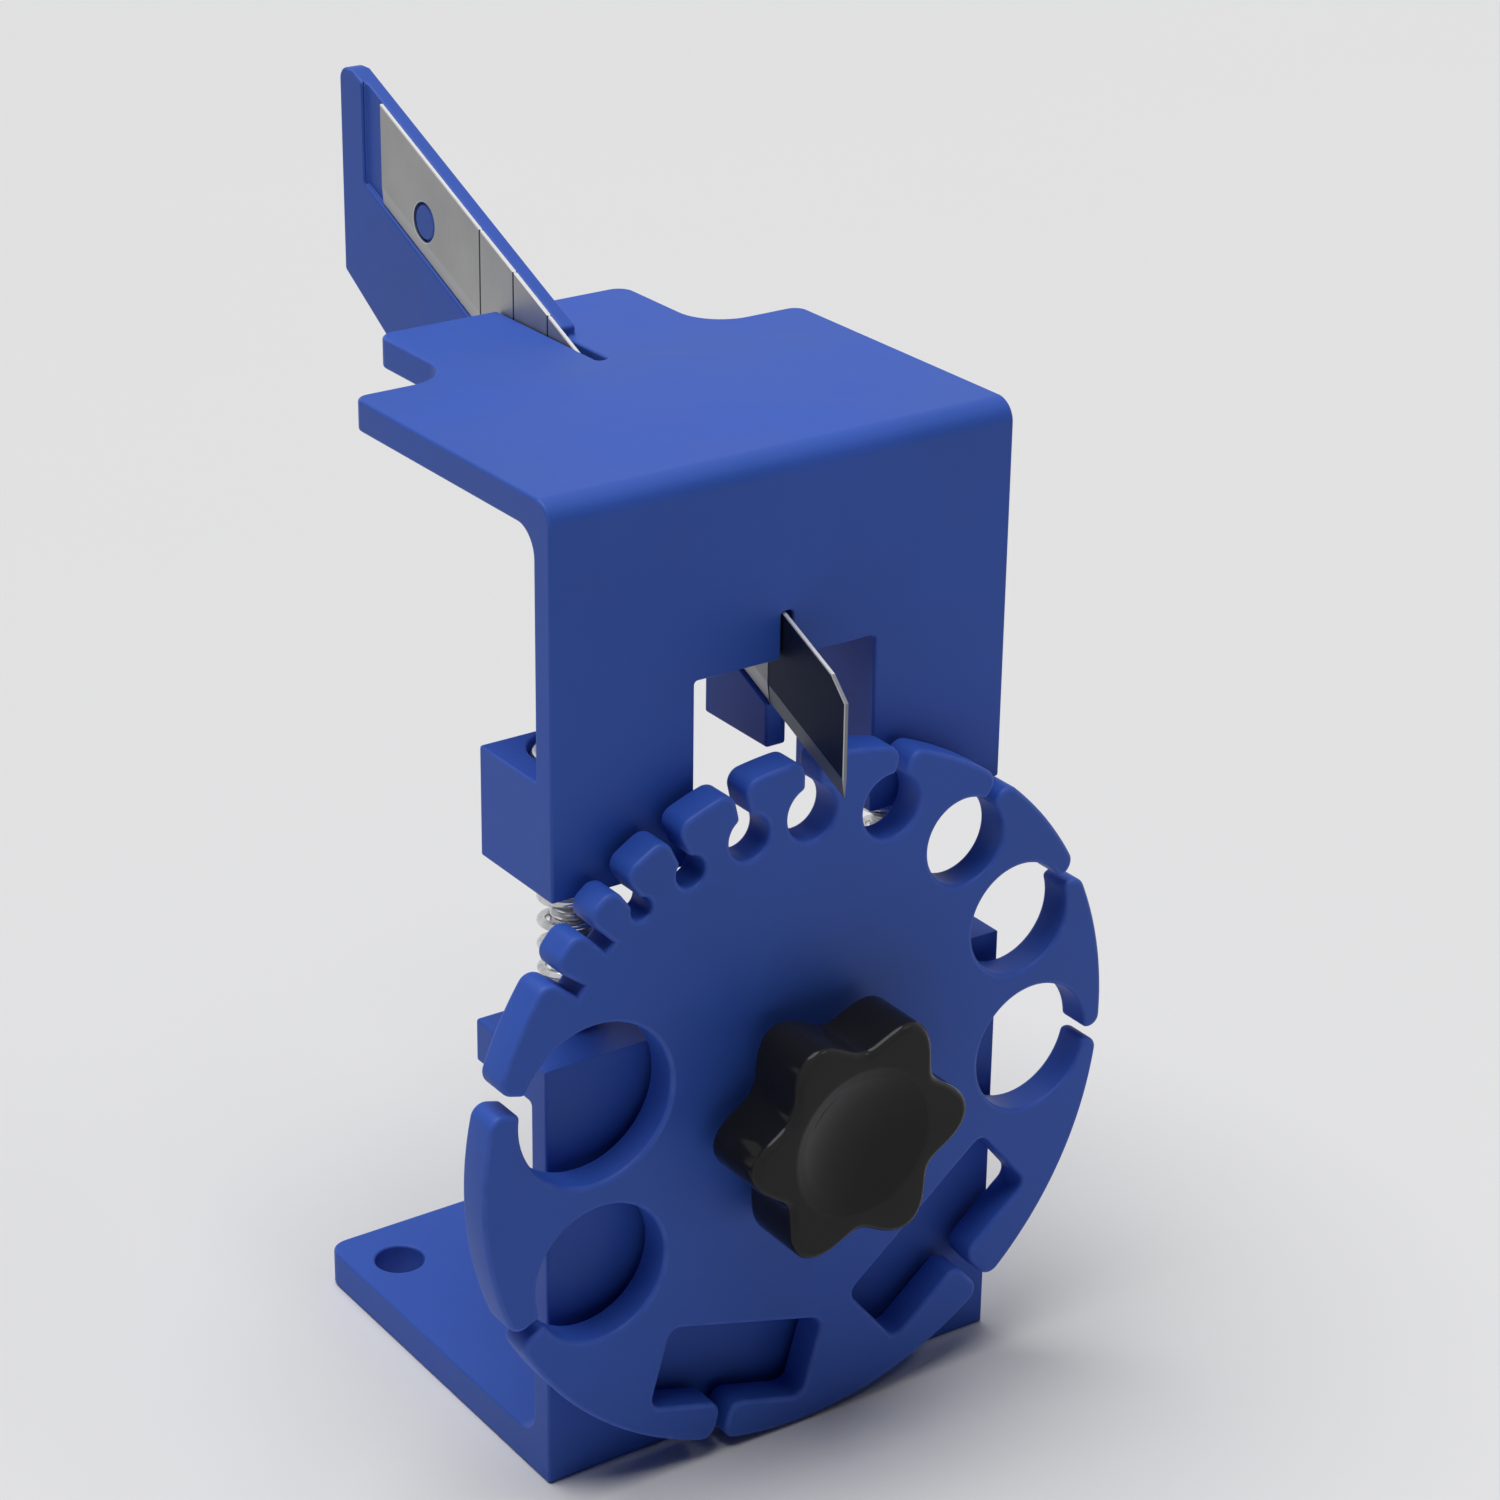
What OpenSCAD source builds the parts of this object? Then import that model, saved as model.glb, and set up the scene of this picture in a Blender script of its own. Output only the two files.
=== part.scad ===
// Press-down wire stripper with a turning selector disc, a slanted snap-off blade and a sprung head.
// Millimetres and degrees. +X is right seen from the front, +Y is back, +Z is up.
// The origin is the middle of the foot's underside. The pieces are drawn from the front face of the
// foot's plate, and each is then set back to that origin by face_y.

/* [Foot] */
// How far the foot, its front plate and its spring block stand out past each side of the head
foot_side_w = 0.75; // [0.25:0.05:3]
// Depth of the foot from front to back
foot_depth = 39.2; // [34:0.2:60]
// Thickness of the foot
foot_t = 3.6; // [2.4:0.2:6]
// Corner radius at the back of the foot
foot_corner_r = 1.8; // [0.6:0.2:4]
// Diameter of the two mounting holes
mount_hole_d = 4.6; // [3:0.1:5.6]
// Distance of the mounting holes from the foot's sides
mount_hole_side_w = 4.5; // [4:0.1:8]
// Distance of the mounting holes from the back edge
mount_hole_inset_w = 5.8; // [4:0.2:12]
// Height of the front plate's top above the bench
front_plate_h = 40.4; // [39.2:0.2:46]
// Thickness of the front plate
front_plate_t = 2.4; // [2:0.1:3.4]
// Height of the spring block behind the plate's top
spring_block_h = 4; // [3:0.2:6]
// Radius of the fillet between foot and front plate
foot_fillet_r = 2.4; // [0.8:0.2:5]
// Diameter of the boss that holds the pivot bolt
boss_d = 13; // [11.4:0.2:15]
// Length of the boss behind the front plate
boss_len = 4; // [3.2:0.1:6]

/* [Head] */
// Width of the head
head_w = 45.5; // [44:0.5:60]
// Height of the head
head_h = 34.25; // [34:0.05:42]
// Thickness of the head's front plate
head_plate_t = 2.4; // [2:0.1:3]
// Thickness of the palm plate
palm_t = 2.8; // [2:0.1:4]
// Depth of the palm plate at its two wings
wing_depth = 30.8; // [28:0.2:33]
// Depth of the palm plate at its middle tongue
tongue_depth = 44.2; // [41:0.2:48]
// Width of the tongue
tongue_w = 25.8; // [16:0.2:30]
// Radius of the wings' back corners
wing_corner_r = 1.3; // [0.5:0.1:3]
// Radius of the tongue's back corners
tongue_corner_r = 1.6; // [0.5:0.1:4]
// Radius of the hollow curve between wing and tongue
neck_r = 4.2; // [1:0.2:5]
// Radius of the rounded edge between palm plate and front plate
brow_r = 2; // [0.6:0.1:2.4]
// Radius of the fillet under the palm plate
brow_fillet_r = 2.4; // [0.8:0.2:5]
// Depth of the guide blocks, on the head and on the foot, behind their plates
block_depth = 8.7; // [8.4:0.1:12]
// Height of the head's guide block
guide_block_h = 9.95; // [8:0.05:13]
// Width of the cable window
window_w = 18; // [14:0.5:22]
// Height of the cable window
window_h = 16.3; // [13:0.1:18]
// Thickness of the blade web and arm
web_t = 2; // [1.4:0.1:3]
// Height of the web's lower edge in the window
web_low_z = 7.6; // [6:0.1:9]
// Thickness of the arm behind the blade's recess
arm_end_t = 4.2; // [3:0.1:8]
// Length of the arm's flat top
arm_land_len = 2.4; // [2:0.1:6]
// Thickness of the two cheeks beside the window
cheek_t = 2.4; // [1.6:0.1:3]
// Length of the palm plate's slot in front of the blade's back edge
palm_slot_lead_len = 4.5; // [2:0.02:6]

/* [Blade] */
// Length of the blade along its edge
blade_len = 80; // [76:1:84]
// Width of the blade
blade_w = 8.6; // [8.6:0.1:9.4]
// Thickness of the blade
blade_t = 0.4; // [0.3:0.05:0.5]
// Slope of the blade
blade_slope = 23.5; // [22:0.5:23.5]
// Height of the cutting edge above the head's lower edge, at the front face
edge_h = 10.9; // [10.9:0.02:12]
// How far the blade's tip stands in front of the front face
tip_reach = 8.6; // [6:0.2:10]
// Height of the ground bevel
bevel_h = 1.5; // [1:0.1:2.5]
// Diameter of the hole near the blade's tail
blade_hole_d = 3.8; // [2.4:0.1:4.4]

/* [Selector disc] */
// Radius of the disc
disc_r = 32.1; // [31.6:0.05:32.2]
// Thickness of the disc
disc_t = 3.4; // [2.4:0.1:3.6]
// Gap between the front plate and the disc
disc_gap = 0.8; // [0.5:0.1:1]
// Height of the disc's centre above the bench
disc_z = 32.3; // [32.2:0.05:32.4]
// Width of the slots that lead from the rim into the round holes
slot_w = 1.1; // [0.8:0.1:1.5]
// Width of the slot at the working place, which lets the blade in
work_slot_w = 1.5; // [1.3:0.1:2.2]
// Rounding of the slots' corners at the rim
lip_r = 1.3; // [0.3:0.1:1.4]
// Rounding of the slots' corners at the holes
throat_r = 0.5; // [0.2:0.1:0.7]

/* [Knob] */
// Mean radius of the star knob
knob_r = 9.75; // [9:0.05:12]
// How far a lobe rises over the mean radius, and a valley falls under it
knob_lobe_h = 1.3; // [0.6:0.1:1.8]
// Number of lobes
knob_lobes = 6; // [5:1:8]
// Depth of the knob from back to front
knob_t = 8; // [7.4:0.1:11]
// Height of the round hub that keeps the knob's lobes clear of the disc
hub_h = 1.6; // [0.6:0.1:2.2]
// Radius of the hollow in the knob's front
dish_r = 6.6; // [4:0.1:7.4]
// Depth of the hollow in the knob's front
dish_depth = 1.5; // [0.6:0.1:1.6]

/* [Hardware] */
// Diameter of the pivot bolt
pivot_d = 5; // [4:0.1:5.4]
// Length of the pivot bolt under its head
pivot_len = 12; // [11:0.1:12.4]
// Width across the flats of the pivot bolt's head
pivot_head_af = 8; // [7:0.1:8.6]
// Height of the pivot bolt's head
pivot_head_h = 3.4; // [2.4:0.1:4]
// Diameter of the guide screws
guide_d = 3.9; // [3:0.1:4]
// Distance of the guide screws from the head's sides
guide_inset_w = 6.25; // [5:0.05:7]
// Diameter of the guide screws' heads
guide_head_d = 7; // [6:0.1:7.2]
// Height of the guide screws' heads
guide_head_h = 4; // [3:0.1:4.2]
// Outside diameter of the springs
spring_od = 6.1; // [5.9:0.1:7]
// Diameter of the spring wire
spring_wire_d = 0.8; // [0.5:0.05:0.8]
// Number of turns of a spring
spring_turns = 7.25; // [5:0.25:7.5]
// Length of the springs' space between the two blocks
spring_space_h = 15.05; // [15.05:0.05:19]
// Running gap round the guide screws and the pivot bolt
run_gap = 0.075; // [0.05:0.005:0.09]

/* [Hidden] */
$fn = 72;
hex = 6;
cut = 1;

print_blue = [0.15, 0.25, 0.62];
steel = [0.62, 0.63, 0.65];
bright_steel = [0.75, 0.76, 0.78];
brass = [0.78, 0.62, 0.28];
moulded_black = [0.05, 0.05, 0.06];

// Places and widths that follow from the sizes
foot_w = head_w + 2 * foot_side_w;
mount_hole_pitch = foot_w - 2 * mount_hole_side_w;
guide_pitch = head_w - 2 * guide_inset_w;
face_y = -foot_depth / 2;
head_z = front_plate_h + spring_space_h;
block_back = head_plate_t + block_depth;
guide_y = front_plate_t + block_depth / 2;
disc_back = -disc_gap;
disc_front = disc_back - disc_t;

// Faces of turning pieces stand this far apart
face_gap = 0.1;
// Clearance holes round the fixed ends of the screws, per side
loose_gap = 0.1;

// Slanted blade. Its lines are given by their height over the head's lower edge at a distance y
rise = tan(blade_slope);
function edge_line(y) = edge_h + y * rise;
function back_line(y) = edge_line(y) + blade_w / cos(blade_slope);
function back_line_y(z) = (z - edge_h - blade_w / cos(blade_slope)) / rise;
tail_y = blade_len * cos(blade_slope) - tip_reach;
blade_land_t = 0.04;
blade_side_gap = 0.1;
blade_edge_gap = 0.15;
blade_slot_w = 1.1;
slot_run_out_w = 2.2;
palm_slot_y = back_line_y(head_h) - palm_slot_lead_len;
tip_clip_h = 1.9;
tail_room_w = 3.1;
arm_reach = tail_y + tail_room_w + arm_end_t;
arm_top = back_line(arm_reach - arm_land_len);
blade_hole_inset_w = 6.4;
blade_hole_up_h = 3.1;
pin_gap = 0.2;
pin_sink_h = 0.1;

// Lower outline of the web and arm: a step behind the window, a long rise, a steeper rise at the arm
web_front = head_plate_t - loose_gap * 4;
web_step_h = 3.4;
web_rise_h = 7.7;
arm_low_y = 8.6;
arm_low_drop_h = 5.2;
arm_low_z = 30.95;
arm_corner_r = 1.2;

// Openings of the disc. Angles run from +X towards +Z. Radii are shares of the disc's radius.
slit_angles = [142.8, 134.3];
slit_w = 1;
slit_end_share = 0.884;
// angle, distance of the hole's centre as a share, hole diameter as a share
hole_shares = [
    [126.2, 0.884, 0.0623], [115.7, 0.862, 0.0872], [103.3, 0.848, 0.1246], [72.4, 0.838, 0.1807],
    [51.5, 0.807, 0.2492], [26.6, 0.780, 0.3240], [-4.6, 0.762, 0.3738], [-154.6, 0.716, 0.3956]];
work_angle = 90;
work_hole_share = 0.844;
work_hole_d_share = 0.1526;
wide_angle = 163.6;
wide_hole_share = 0.688;
wide_hole_d_share = 0.4579;
wide_slot_w = 1.6;
// The roundings at rim and holes stop this far before they touch their circles
lip_stop_w = 0.7;
throat_stop_w = 0.2;
// angle, distance of the pocket's centre as a share, length and width as shares
pocket_shares = [[-51, 0.732, 0.5701, 0.2617], [-105.9, 0.767, 0.5171, 0.2368]];
pocket_corner_r = 1.1;

// Knob
knob_points = 144;
knob_phase = -1;
knob_back = disc_front - face_gap;
knob_front = knob_back - knob_t;
knob_edge_r = 0.7;
hub_d = 13.6;
knob_washer_d = 10;
knob_washer_t = 1;
knob_washer_gap = 0.05;
knob_seat = disc_front - knob_washer_gap - knob_washer_t;
insert_d = 7;
insert_len = 4.8;
disc_washer_d = 12;

// Boss and bolt
bolt_seat_t = 0.4;
bolt_seat = front_plate_t + bolt_seat_t;
pocket_gap = 0.1;
bolt_chamfer = 0.4;

// Guide screws and nuts
counterbore_gap = 0.2;
head_sink_h = 0.2;
guide_washer_d = 8;
guide_washer_t = 0.5;
nut_af = 7;
nut_h = 3.2;
nut_show = 1;
socket_af = 3;
socket_depth = 2;
seat_gap = 0.05;
end_gap = 0.43;

// A square edge along X is rounded by taking away what lies outside the round
module edge_cut(radius, length) {
    difference() {
        translate([0, -cut, -radius])
            cube([length, radius + cut, radius + cut]);
        translate([-cut, radius, -radius])
            rotate([0, 90, 0])
                cylinder(r = radius, h = length + 2 * cut);
    }
}

// Hollow fillet along X in the corner between a plate that stands and one that lies
module corner_fillet(radius, length) {
    difference() {
        translate([0, -radius / 2, -radius / 2])
            cube([length, radius * 3 / 2, radius * 3 / 2]);
        translate([-cut, radius, radius])
            rotate([0, 90, 0])
                cylinder(r = radius, h = length + 2 * cut);
    }
}

// Plate outline, square at the front and round at its two back corners
module tab(width, depth, radius) {
    translate([-width / 2, 0])
        square([width, depth - radius]);
    translate([radius - width / 2, 0])
        square([width - 2 * radius, depth]);
    for (side = [-1, 1])
        translate([side * (width / 2 - radius), depth - radius])
            circle(r = radius);
}

// Side outline drawn in depth and height, made solid to the right of x
module side_solid(x, thickness) {
    translate([x, 0, 0])
        rotate([90, 0, 90])
            linear_extrude(thickness)
                children();
}

// Hexagon prism, flats facing front and back, with its corners turned off at one or both ends
module hexagon(af, height, both) {
    corner_d = af / cos(180 / hex);
    taper = (corner_d - af) / 2;
    lead = taper * tan(30);
    intersection() {
        cylinder(d = corner_d, h = height, $fn = hex);
        rotate_extrude()
            polygon([[0, 0], [corner_d / 2 - (both ? taper : 0), 0],
                [corner_d / 2, both ? lead : 0], [corner_d / 2, height - lead],
                [corner_d / 2 - taper, height], [0, height]]);
    }
}

// Printed bracket that stands on the bench
module base() {
    color(print_blue)
        translate([0, face_y, 0])
            difference() {
                union() {
                    linear_extrude(foot_t)
                        tab(foot_w, foot_depth, foot_corner_r);
                    translate([-foot_w / 2, 0, 0])
                        cube([foot_w, front_plate_t, front_plate_h]);
                    translate([-foot_w / 2, 0, front_plate_h - spring_block_h])
                        cube([foot_w, front_plate_t + block_depth, spring_block_h]);
                    translate([-foot_w / 2, front_plate_t, foot_t])
                        corner_fillet(foot_fillet_r, foot_w);
                    translate([0, front_plate_t / 2, disc_z])
                        rotate([-90, 0, 0])
                            cylinder(d = boss_d, h = front_plate_t / 2 + boss_len);
                }
                for (side = [-1, 1]) {
                    translate([side * mount_hole_pitch / 2, foot_depth - mount_hole_inset_w, -cut])
                        cylinder(d = mount_hole_d, h = foot_t + 2 * cut);
                    translate([side * guide_pitch / 2, guide_y, front_plate_h - spring_block_h - cut])
                        cylinder(d = guide_d + 2 * loose_gap, h = spring_block_h + 2 * cut);
                }
                translate([0, -cut, disc_z])
                    rotate([-90, 0, 0])
                        cylinder(d = pivot_d + 2 * loose_gap, h = bolt_seat + 2 * cut);
                translate([0, bolt_seat, disc_z])
                    rotate([-90, 0, 0])
                        cylinder(d = (pivot_head_af + 2 * pocket_gap) / cos(180 / hex),
                            h = front_plate_t + boss_len, $fn = hex);
            }
}

// Outline of the palm plate seen from above
module palm_outline() {
    tab(head_w, wing_depth, wing_corner_r);
    tab(tongue_w, tongue_depth, tongue_corner_r);
    for (side = [-1, 1])
        translate([side * tongue_w / 2, wing_depth])
            scale([side, 1])
                difference() {
                    translate([-neck_r / 2, -neck_r / 2])
                        square(neck_r * 3 / 2);
                    translate([neck_r, neck_r])
                        circle(r = neck_r);
                }
}

// Band that the blade takes up, seen from the side
module blade_band(y_from, y_to) {
    polygon([[y_from, edge_line(y_from) - blade_edge_gap], [y_to, edge_line(y_to) - blade_edge_gap],
        [y_to, back_line(y_to) + blade_edge_gap], [y_from, back_line(y_from) + blade_edge_gap]]);
}

// Web under the palm plate and arm behind it, seen from the side
module web_outline() {
    slot_end = back_line_y(head_h) + slot_run_out_w;
    arm_peak = back_line_y(arm_top);
    difference() {
        polygon([[web_front, web_low_z], [block_back, web_low_z], [block_back, web_low_z + web_step_h],
            [tongue_depth, web_low_z + web_step_h + web_rise_h],
            [arm_reach - arm_low_y, arm_low_z - arm_low_drop_h], [arm_reach, arm_low_z],
            [arm_reach, arm_top], [arm_peak, arm_top], [slot_end, back_line(slot_end)],
            [slot_end, head_h - palm_t], [web_front, head_h - palm_t]]);
        translate([arm_reach - arm_corner_r, arm_top - arm_corner_r])
            difference() {
                square(arm_corner_r + cut);
                circle(r = arm_corner_r);
            }
    }
}

// Printed head: front plate, palm plate, guide block, and the web and arm that hold the blade
module press_head() {
    color(print_blue)
        translate([0, face_y, head_z])
            difference() {
                union() {
                    difference() {
                        head_shell();
                        translate([-window_w / 2, -cut, -cut])
                            cube([window_w, block_back + 2 * cut, window_h + cut]);
                        side_solid(-blade_slot_w / 2, blade_slot_w)
                            blade_band(-cut, back_line_y(head_h) + slot_run_out_w);
                        translate([-blade_slot_w / 2, palm_slot_y, head_h - palm_t - cut])
                            cube([blade_slot_w, back_line_y(head_h) + slot_run_out_w - palm_slot_y,
                                palm_t + 2 * cut]);
                    }
                    side_solid(-blade_side_gap - blade_t, web_t)
                        web_outline();
                    translate([0, hole_y(), hole_z()])
                        rotate([0, -90, 0])
                            cylinder(d = blade_hole_d - 2 * pin_gap, h = blade_t - pin_sink_h);
                }
                difference() {
                    side_solid(-blade_slot_w / 2, blade_slot_w / 2)
                        blade_band(-cut, tail_y + tail_room_w);
                    translate([-cut, hole_y(), hole_z()])
                        rotate([0, 90, 0])
                            cylinder(d = blade_hole_d - 2 * pin_gap, h = 2 * cut);
                }
                translate([-blade_slot_w, hole_y(), hole_z()])
                    rotate([0, 90, 0])
                        cylinder(d = blade_hole_d, h = blade_slot_w - blade_t + pin_sink_h);
                for (side = [-1, 1])
                    translate([side * guide_pitch / 2, guide_y, 0]) {
                        translate([0, 0, -cut])
                            cylinder(d = guide_d + 2 * run_gap, h = guide_block_h + 2 * cut);
                        translate([0, 0, guide_block_h - guide_head_h - head_sink_h])
                            cylinder(d = guide_head_d + 2 * counterbore_gap,
                                h = guide_head_h + head_sink_h + cut);
                    }
            }
}

// Plates and block of the head before the window and the blade's slots are cut
module head_shell() {
    difference() {
        union() {
            translate([-head_w / 2, 0, 0])
                cube([head_w, head_plate_t, head_h]);
            translate([0, 0, head_h - palm_t])
                linear_extrude(palm_t)
                    palm_outline();
            translate([-head_w / 2, 0, 0])
                cube([head_w, block_back, guide_block_h]);
            translate([-head_w / 2, head_plate_t, head_h - palm_t])
                mirror([0, 0, 1])
                    corner_fillet(brow_fillet_r, head_w);
            for (side = [0, 1])
                mirror([side, 0, 0])
                    translate([window_w / 2, 0, 0])
                        cube([cheek_t, block_back, head_h - palm_t]);
        }
        translate([-head_w / 2 - cut, 0, head_h])
            edge_cut(brow_r, head_w + 2 * cut);
    }
}

// Place of the blade's hole, seen from the side
function hole_y() = tail_y - blade_hole_inset_w - blade_hole_up_h * sin(blade_slope);
function hole_z() = edge_line(tail_y - blade_hole_inset_w) + blade_hole_up_h * cos(blade_slope);

// Snap-off blade with a bevel on both faces of its lower edge
module blade() {
    long = blade_len + blade_w;
    lean = (blade_t - blade_land_t) / 2;
    color(bright_steel)
        translate([0, face_y, head_z])
            difference() {
                side_solid(-blade_t, blade_t)
                    polygon([[-tip_reach, edge_line(-tip_reach)], [tail_y, edge_line(tail_y)],
                        [tail_y, back_line(tail_y)],
                        [tip_clip_h - tip_reach, back_line(tip_clip_h - tip_reach)],
                        [-tip_reach, back_line(tip_clip_h - tip_reach) - tip_clip_h]]);
                translate([-blade_t / 2, -tip_reach, edge_line(-tip_reach)])
                    rotate([blade_slope - 90, 0, 0])
                        translate([0, 0, -blade_w / 2])
                            for (side = [0, 1])
                                mirror([side, 0, 0])
                                    linear_extrude(long)
                                        polygon([[blade_land_t / 2 - lean, bevel_h],
                                            [blade_t / 2 + lean, bevel_h],
                                            [blade_t / 2 + lean, -2 * bevel_h]]);
                translate([-blade_t - cut, hole_y(), hole_z()])
                    rotate([0, 90, 0])
                        cylinder(d = blade_hole_d, h = blade_t + 2 * cut);
            }
}

// Slot that runs outwards along +Y from a distance y to the disc's rim, its rim corners rounded
module rim_slot(width, y, radius) {
    lip_x = width / 2 + radius;
    lip_y = sqrt(pow(disc_r - radius, 2) - pow(lip_x, 2));
    reach = (disc_r + cut) / (disc_r - radius);
    translate([-width / 2, y])
        square([width, disc_r - y + cut]);
    for (side = [-1, 1])
        scale([side, 1])
            difference() {
                polygon([[0, lip_y], [lip_x, lip_y], [lip_x * reach - lip_stop_w, lip_y * reach],
                    [0, disc_r + cut]]);
                translate([lip_x, lip_y])
                    circle(r = radius);
            }
}

// Round hole centred at a distance y, open to the rim by a slot whose corners are rounded
module slotted_hole(y, diameter, width) {
    throat_x = width / 2 + throat_r;
    throat_y = y + sqrt(pow(diameter / 2 + throat_r, 2) - pow(throat_x, 2));
    translate([0, y])
        circle(d = diameter);
    rim_slot(width, y, lip_r);
    for (side = [-1, 1])
        scale([side, 1])
            difference() {
                polygon([[0, y], [throat_x - throat_stop_w, throat_y], [0, throat_y]]);
                translate([throat_x, throat_y])
                    circle(r = throat_r);
            }
}

// Pocket with rounded corners, centred at a distance y, open to the rim by a slot
module slotted_pocket(y, length, width) {
    inset = pocket_corner_r;
    outer = y + width / 2;
    for (x = [-1, 1], z = [-1, 1])
        translate([x * (length / 2 - inset), y + z * (width / 2 - inset)])
            circle(r = inset);
    translate([-length / 2, y - width / 2 + inset])
        square([length, width - 2 * inset]);
    translate([inset - length / 2, y - width / 2])
        square([length - 2 * inset, width]);
    rim_slot(slot_w, y, lip_r);
    for (side = [-1, 1])
        scale([side, 1])
            difference() {
                translate([0, y])
                    square([slot_w / 2 + lip_r, width / 2 + lip_r]);
                translate([slot_w / 2 + lip_r, outer + lip_r])
                    circle(r = lip_r);
            }
}

// All openings of the disc, seen from the front
module disc_openings() {
    for (a = slit_angles)
        rotate(a - 90)
            rim_slot(slit_w, slit_end_share * disc_r, lip_r);
    for (h = hole_shares)
        rotate(h[0] - 90)
            slotted_hole(h[1] * disc_r, h[2] * disc_r, slot_w);
    rotate(work_angle - 90)
        slotted_hole(work_hole_share * disc_r, work_hole_d_share * disc_r, work_slot_w);
    rotate(wide_angle - 90)
        slotted_hole(wide_hole_share * disc_r, wide_hole_d_share * disc_r, wide_slot_w);
    for (p = pocket_shares)
        rotate(p[0] - 90)
            slotted_pocket(p[1] * disc_r, p[2] * disc_r, p[3] * disc_r);
}

// Disc with slotted openings of growing size
module selector_disc() {
    color(print_blue)
        translate([0, face_y + disc_back, disc_z])
            rotate([90, 0, 0])
                difference() {
                    linear_extrude(disc_t)
                        difference() {
                            circle(r = disc_r, $fn = 180);
                            disc_openings();
                        }
                    translate([0, 0, -cut])
                        cylinder(d = pivot_d + 2 * run_gap, h = disc_t + 2 * cut);
                }
}

// Moulded star knob: waved outline, hollow front, and a round hub with a seat for washer and insert
module star_knob() {
    peak = knob_r + knob_lobe_h;
    bowl = (pow(dish_r, 2) + pow(dish_depth, 2)) / (2 * dish_depth);
    seat = knob_back - knob_seat;
    color(moulded_black)
        translate([0, face_y + knob_back, disc_z])
            rotate([90, 0, 0])
                difference() {
                    union() {
                        cylinder(d = hub_d, h = knob_t / 2);
                        intersection() {
                            translate([0, 0, hub_h])
                                linear_extrude(knob_t - hub_h)
                                    polygon([for (i = [0 : knob_points - 1])
                                        let (a = 360 * i / knob_points,
                                            r = knob_r + knob_lobe_h * cos(knob_lobes * (a - knob_phase)))
                                        r * [cos(a), sin(a)]]);
                            rotate_extrude() {
                                square([peak - knob_edge_r, knob_t]);
                                square([peak + knob_edge_r, knob_t - knob_edge_r]);
                                translate([peak - knob_edge_r, knob_t - knob_edge_r])
                                    circle(r = knob_edge_r);
                            }
                        }
                    }
                    translate([0, 0, knob_t - dish_depth + bowl])
                        sphere(r = bowl, $fn = 144);
                    translate([0, 0, -cut])
                        cylinder(d = knob_washer_d + 4 * pocket_gap, h = seat + cut);
                    cylinder(d = insert_d, h = seat + insert_len);
                }
}

// Threaded brass insert of the knob
module knob_insert() {
    color(brass)
        translate([0, face_y + knob_seat, disc_z])
            rotate([90, 0, 0])
                difference() {
                    cylinder(d = insert_d, h = insert_len);
                    translate([0, 0, -cut])
                        cylinder(d = pivot_d + 2 * run_gap, h = insert_len + 2 * cut);
                }
}

// Flat ring round an axis along Y, its back face at y
module washer(y, diameter, bore, thickness) {
    color(steel)
        translate([0, face_y + y, disc_z])
            rotate([90, 0, 0])
                difference() {
                    cylinder(d = diameter, h = thickness);
                    translate([0, 0, -cut])
                        cylinder(d = bore, h = thickness + 2 * cut);
                }
}

// Washer between the knob and the disc. It moves out with the knob and doesn't turn
module knob_washer() {
    washer(disc_front - knob_washer_gap, knob_washer_d, pivot_d + 2 * run_gap, knob_washer_t);
}

// Spacer between the front plate and the disc
module disc_washer() {
    washer(0, disc_washer_d, pivot_d + 2 * loose_gap, disc_gap - face_gap);
}

// Hexagon bolt that the disc turns on. Its head sits in the boss and its end in the knob
module pivot_bolt() {
    color(steel)
        translate([0, face_y + bolt_seat, disc_z]) {
            rotate([-90, 0, 0])
                hexagon(pivot_head_af, pivot_head_h, false);
            rotate([90, 0, 0])
                rotate_extrude()
                    polygon([[0, 0], [pivot_d / 2, 0], [pivot_d / 2, pivot_len - bolt_chamfer],
                        [pivot_d / 2 - bolt_chamfer, pivot_len], [0, pivot_len]]);
        }
}

// Cap screw through the head's block, the spring and the foot's block. Its head stops the rise
module guide_screw(side) {
    top = head_z + guide_block_h - head_sink_h - guide_head_h;
    end = front_plate_h - spring_block_h - guide_washer_t - nut_h - nut_show;
    color(steel)
        translate([side * guide_pitch / 2, face_y + guide_y, 0])
            difference() {
                union() {
                    translate([0, 0, top])
                        cylinder(d = guide_head_d, h = guide_head_h);
                    translate([0, 0, end + bolt_chamfer])
                        cylinder(d = guide_d, h = top - end - bolt_chamfer);
                    translate([0, 0, end])
                        cylinder(d1 = guide_d - 2 * bolt_chamfer, d2 = guide_d, h = bolt_chamfer);
                }
                translate([0, 0, top + guide_head_h - socket_depth])
                    cylinder(d = socket_af / cos(180 / hex), h = socket_depth + cut, $fn = hex);
            }
}

module guide_screw_left() {
    guide_screw(-1);
}

module guide_screw_right() {
    guide_screw(1);
}

// Washer under the foot's block
module guide_washer(side) {
    color(bright_steel)
        translate([side * guide_pitch / 2, face_y + guide_y,
            front_plate_h - spring_block_h - guide_washer_t])
            difference() {
                cylinder(d = guide_washer_d, h = guide_washer_t);
                translate([0, 0, -cut])
                    cylinder(d = guide_d + 2 * loose_gap, h = guide_washer_t + 2 * cut);
            }
}

module guide_washer_left() {
    guide_washer(-1);
}

module guide_washer_right() {
    guide_washer(1);
}

// Hexagon nut that holds the guide screw against the foot's block
module guide_nut(side) {
    color(steel)
        translate([side * guide_pitch / 2, face_y + guide_y,
            front_plate_h - spring_block_h - guide_washer_t - nut_h])
            difference() {
                hexagon(nut_af, nut_h, true);
                translate([0, 0, -cut])
                    cylinder(d = guide_d + 2 * run_gap, h = nut_h + 2 * cut);
            }
}

module guide_nut_left() {
    guide_nut(-1);
}

module guide_nut_right() {
    guide_nut(1);
}

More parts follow.
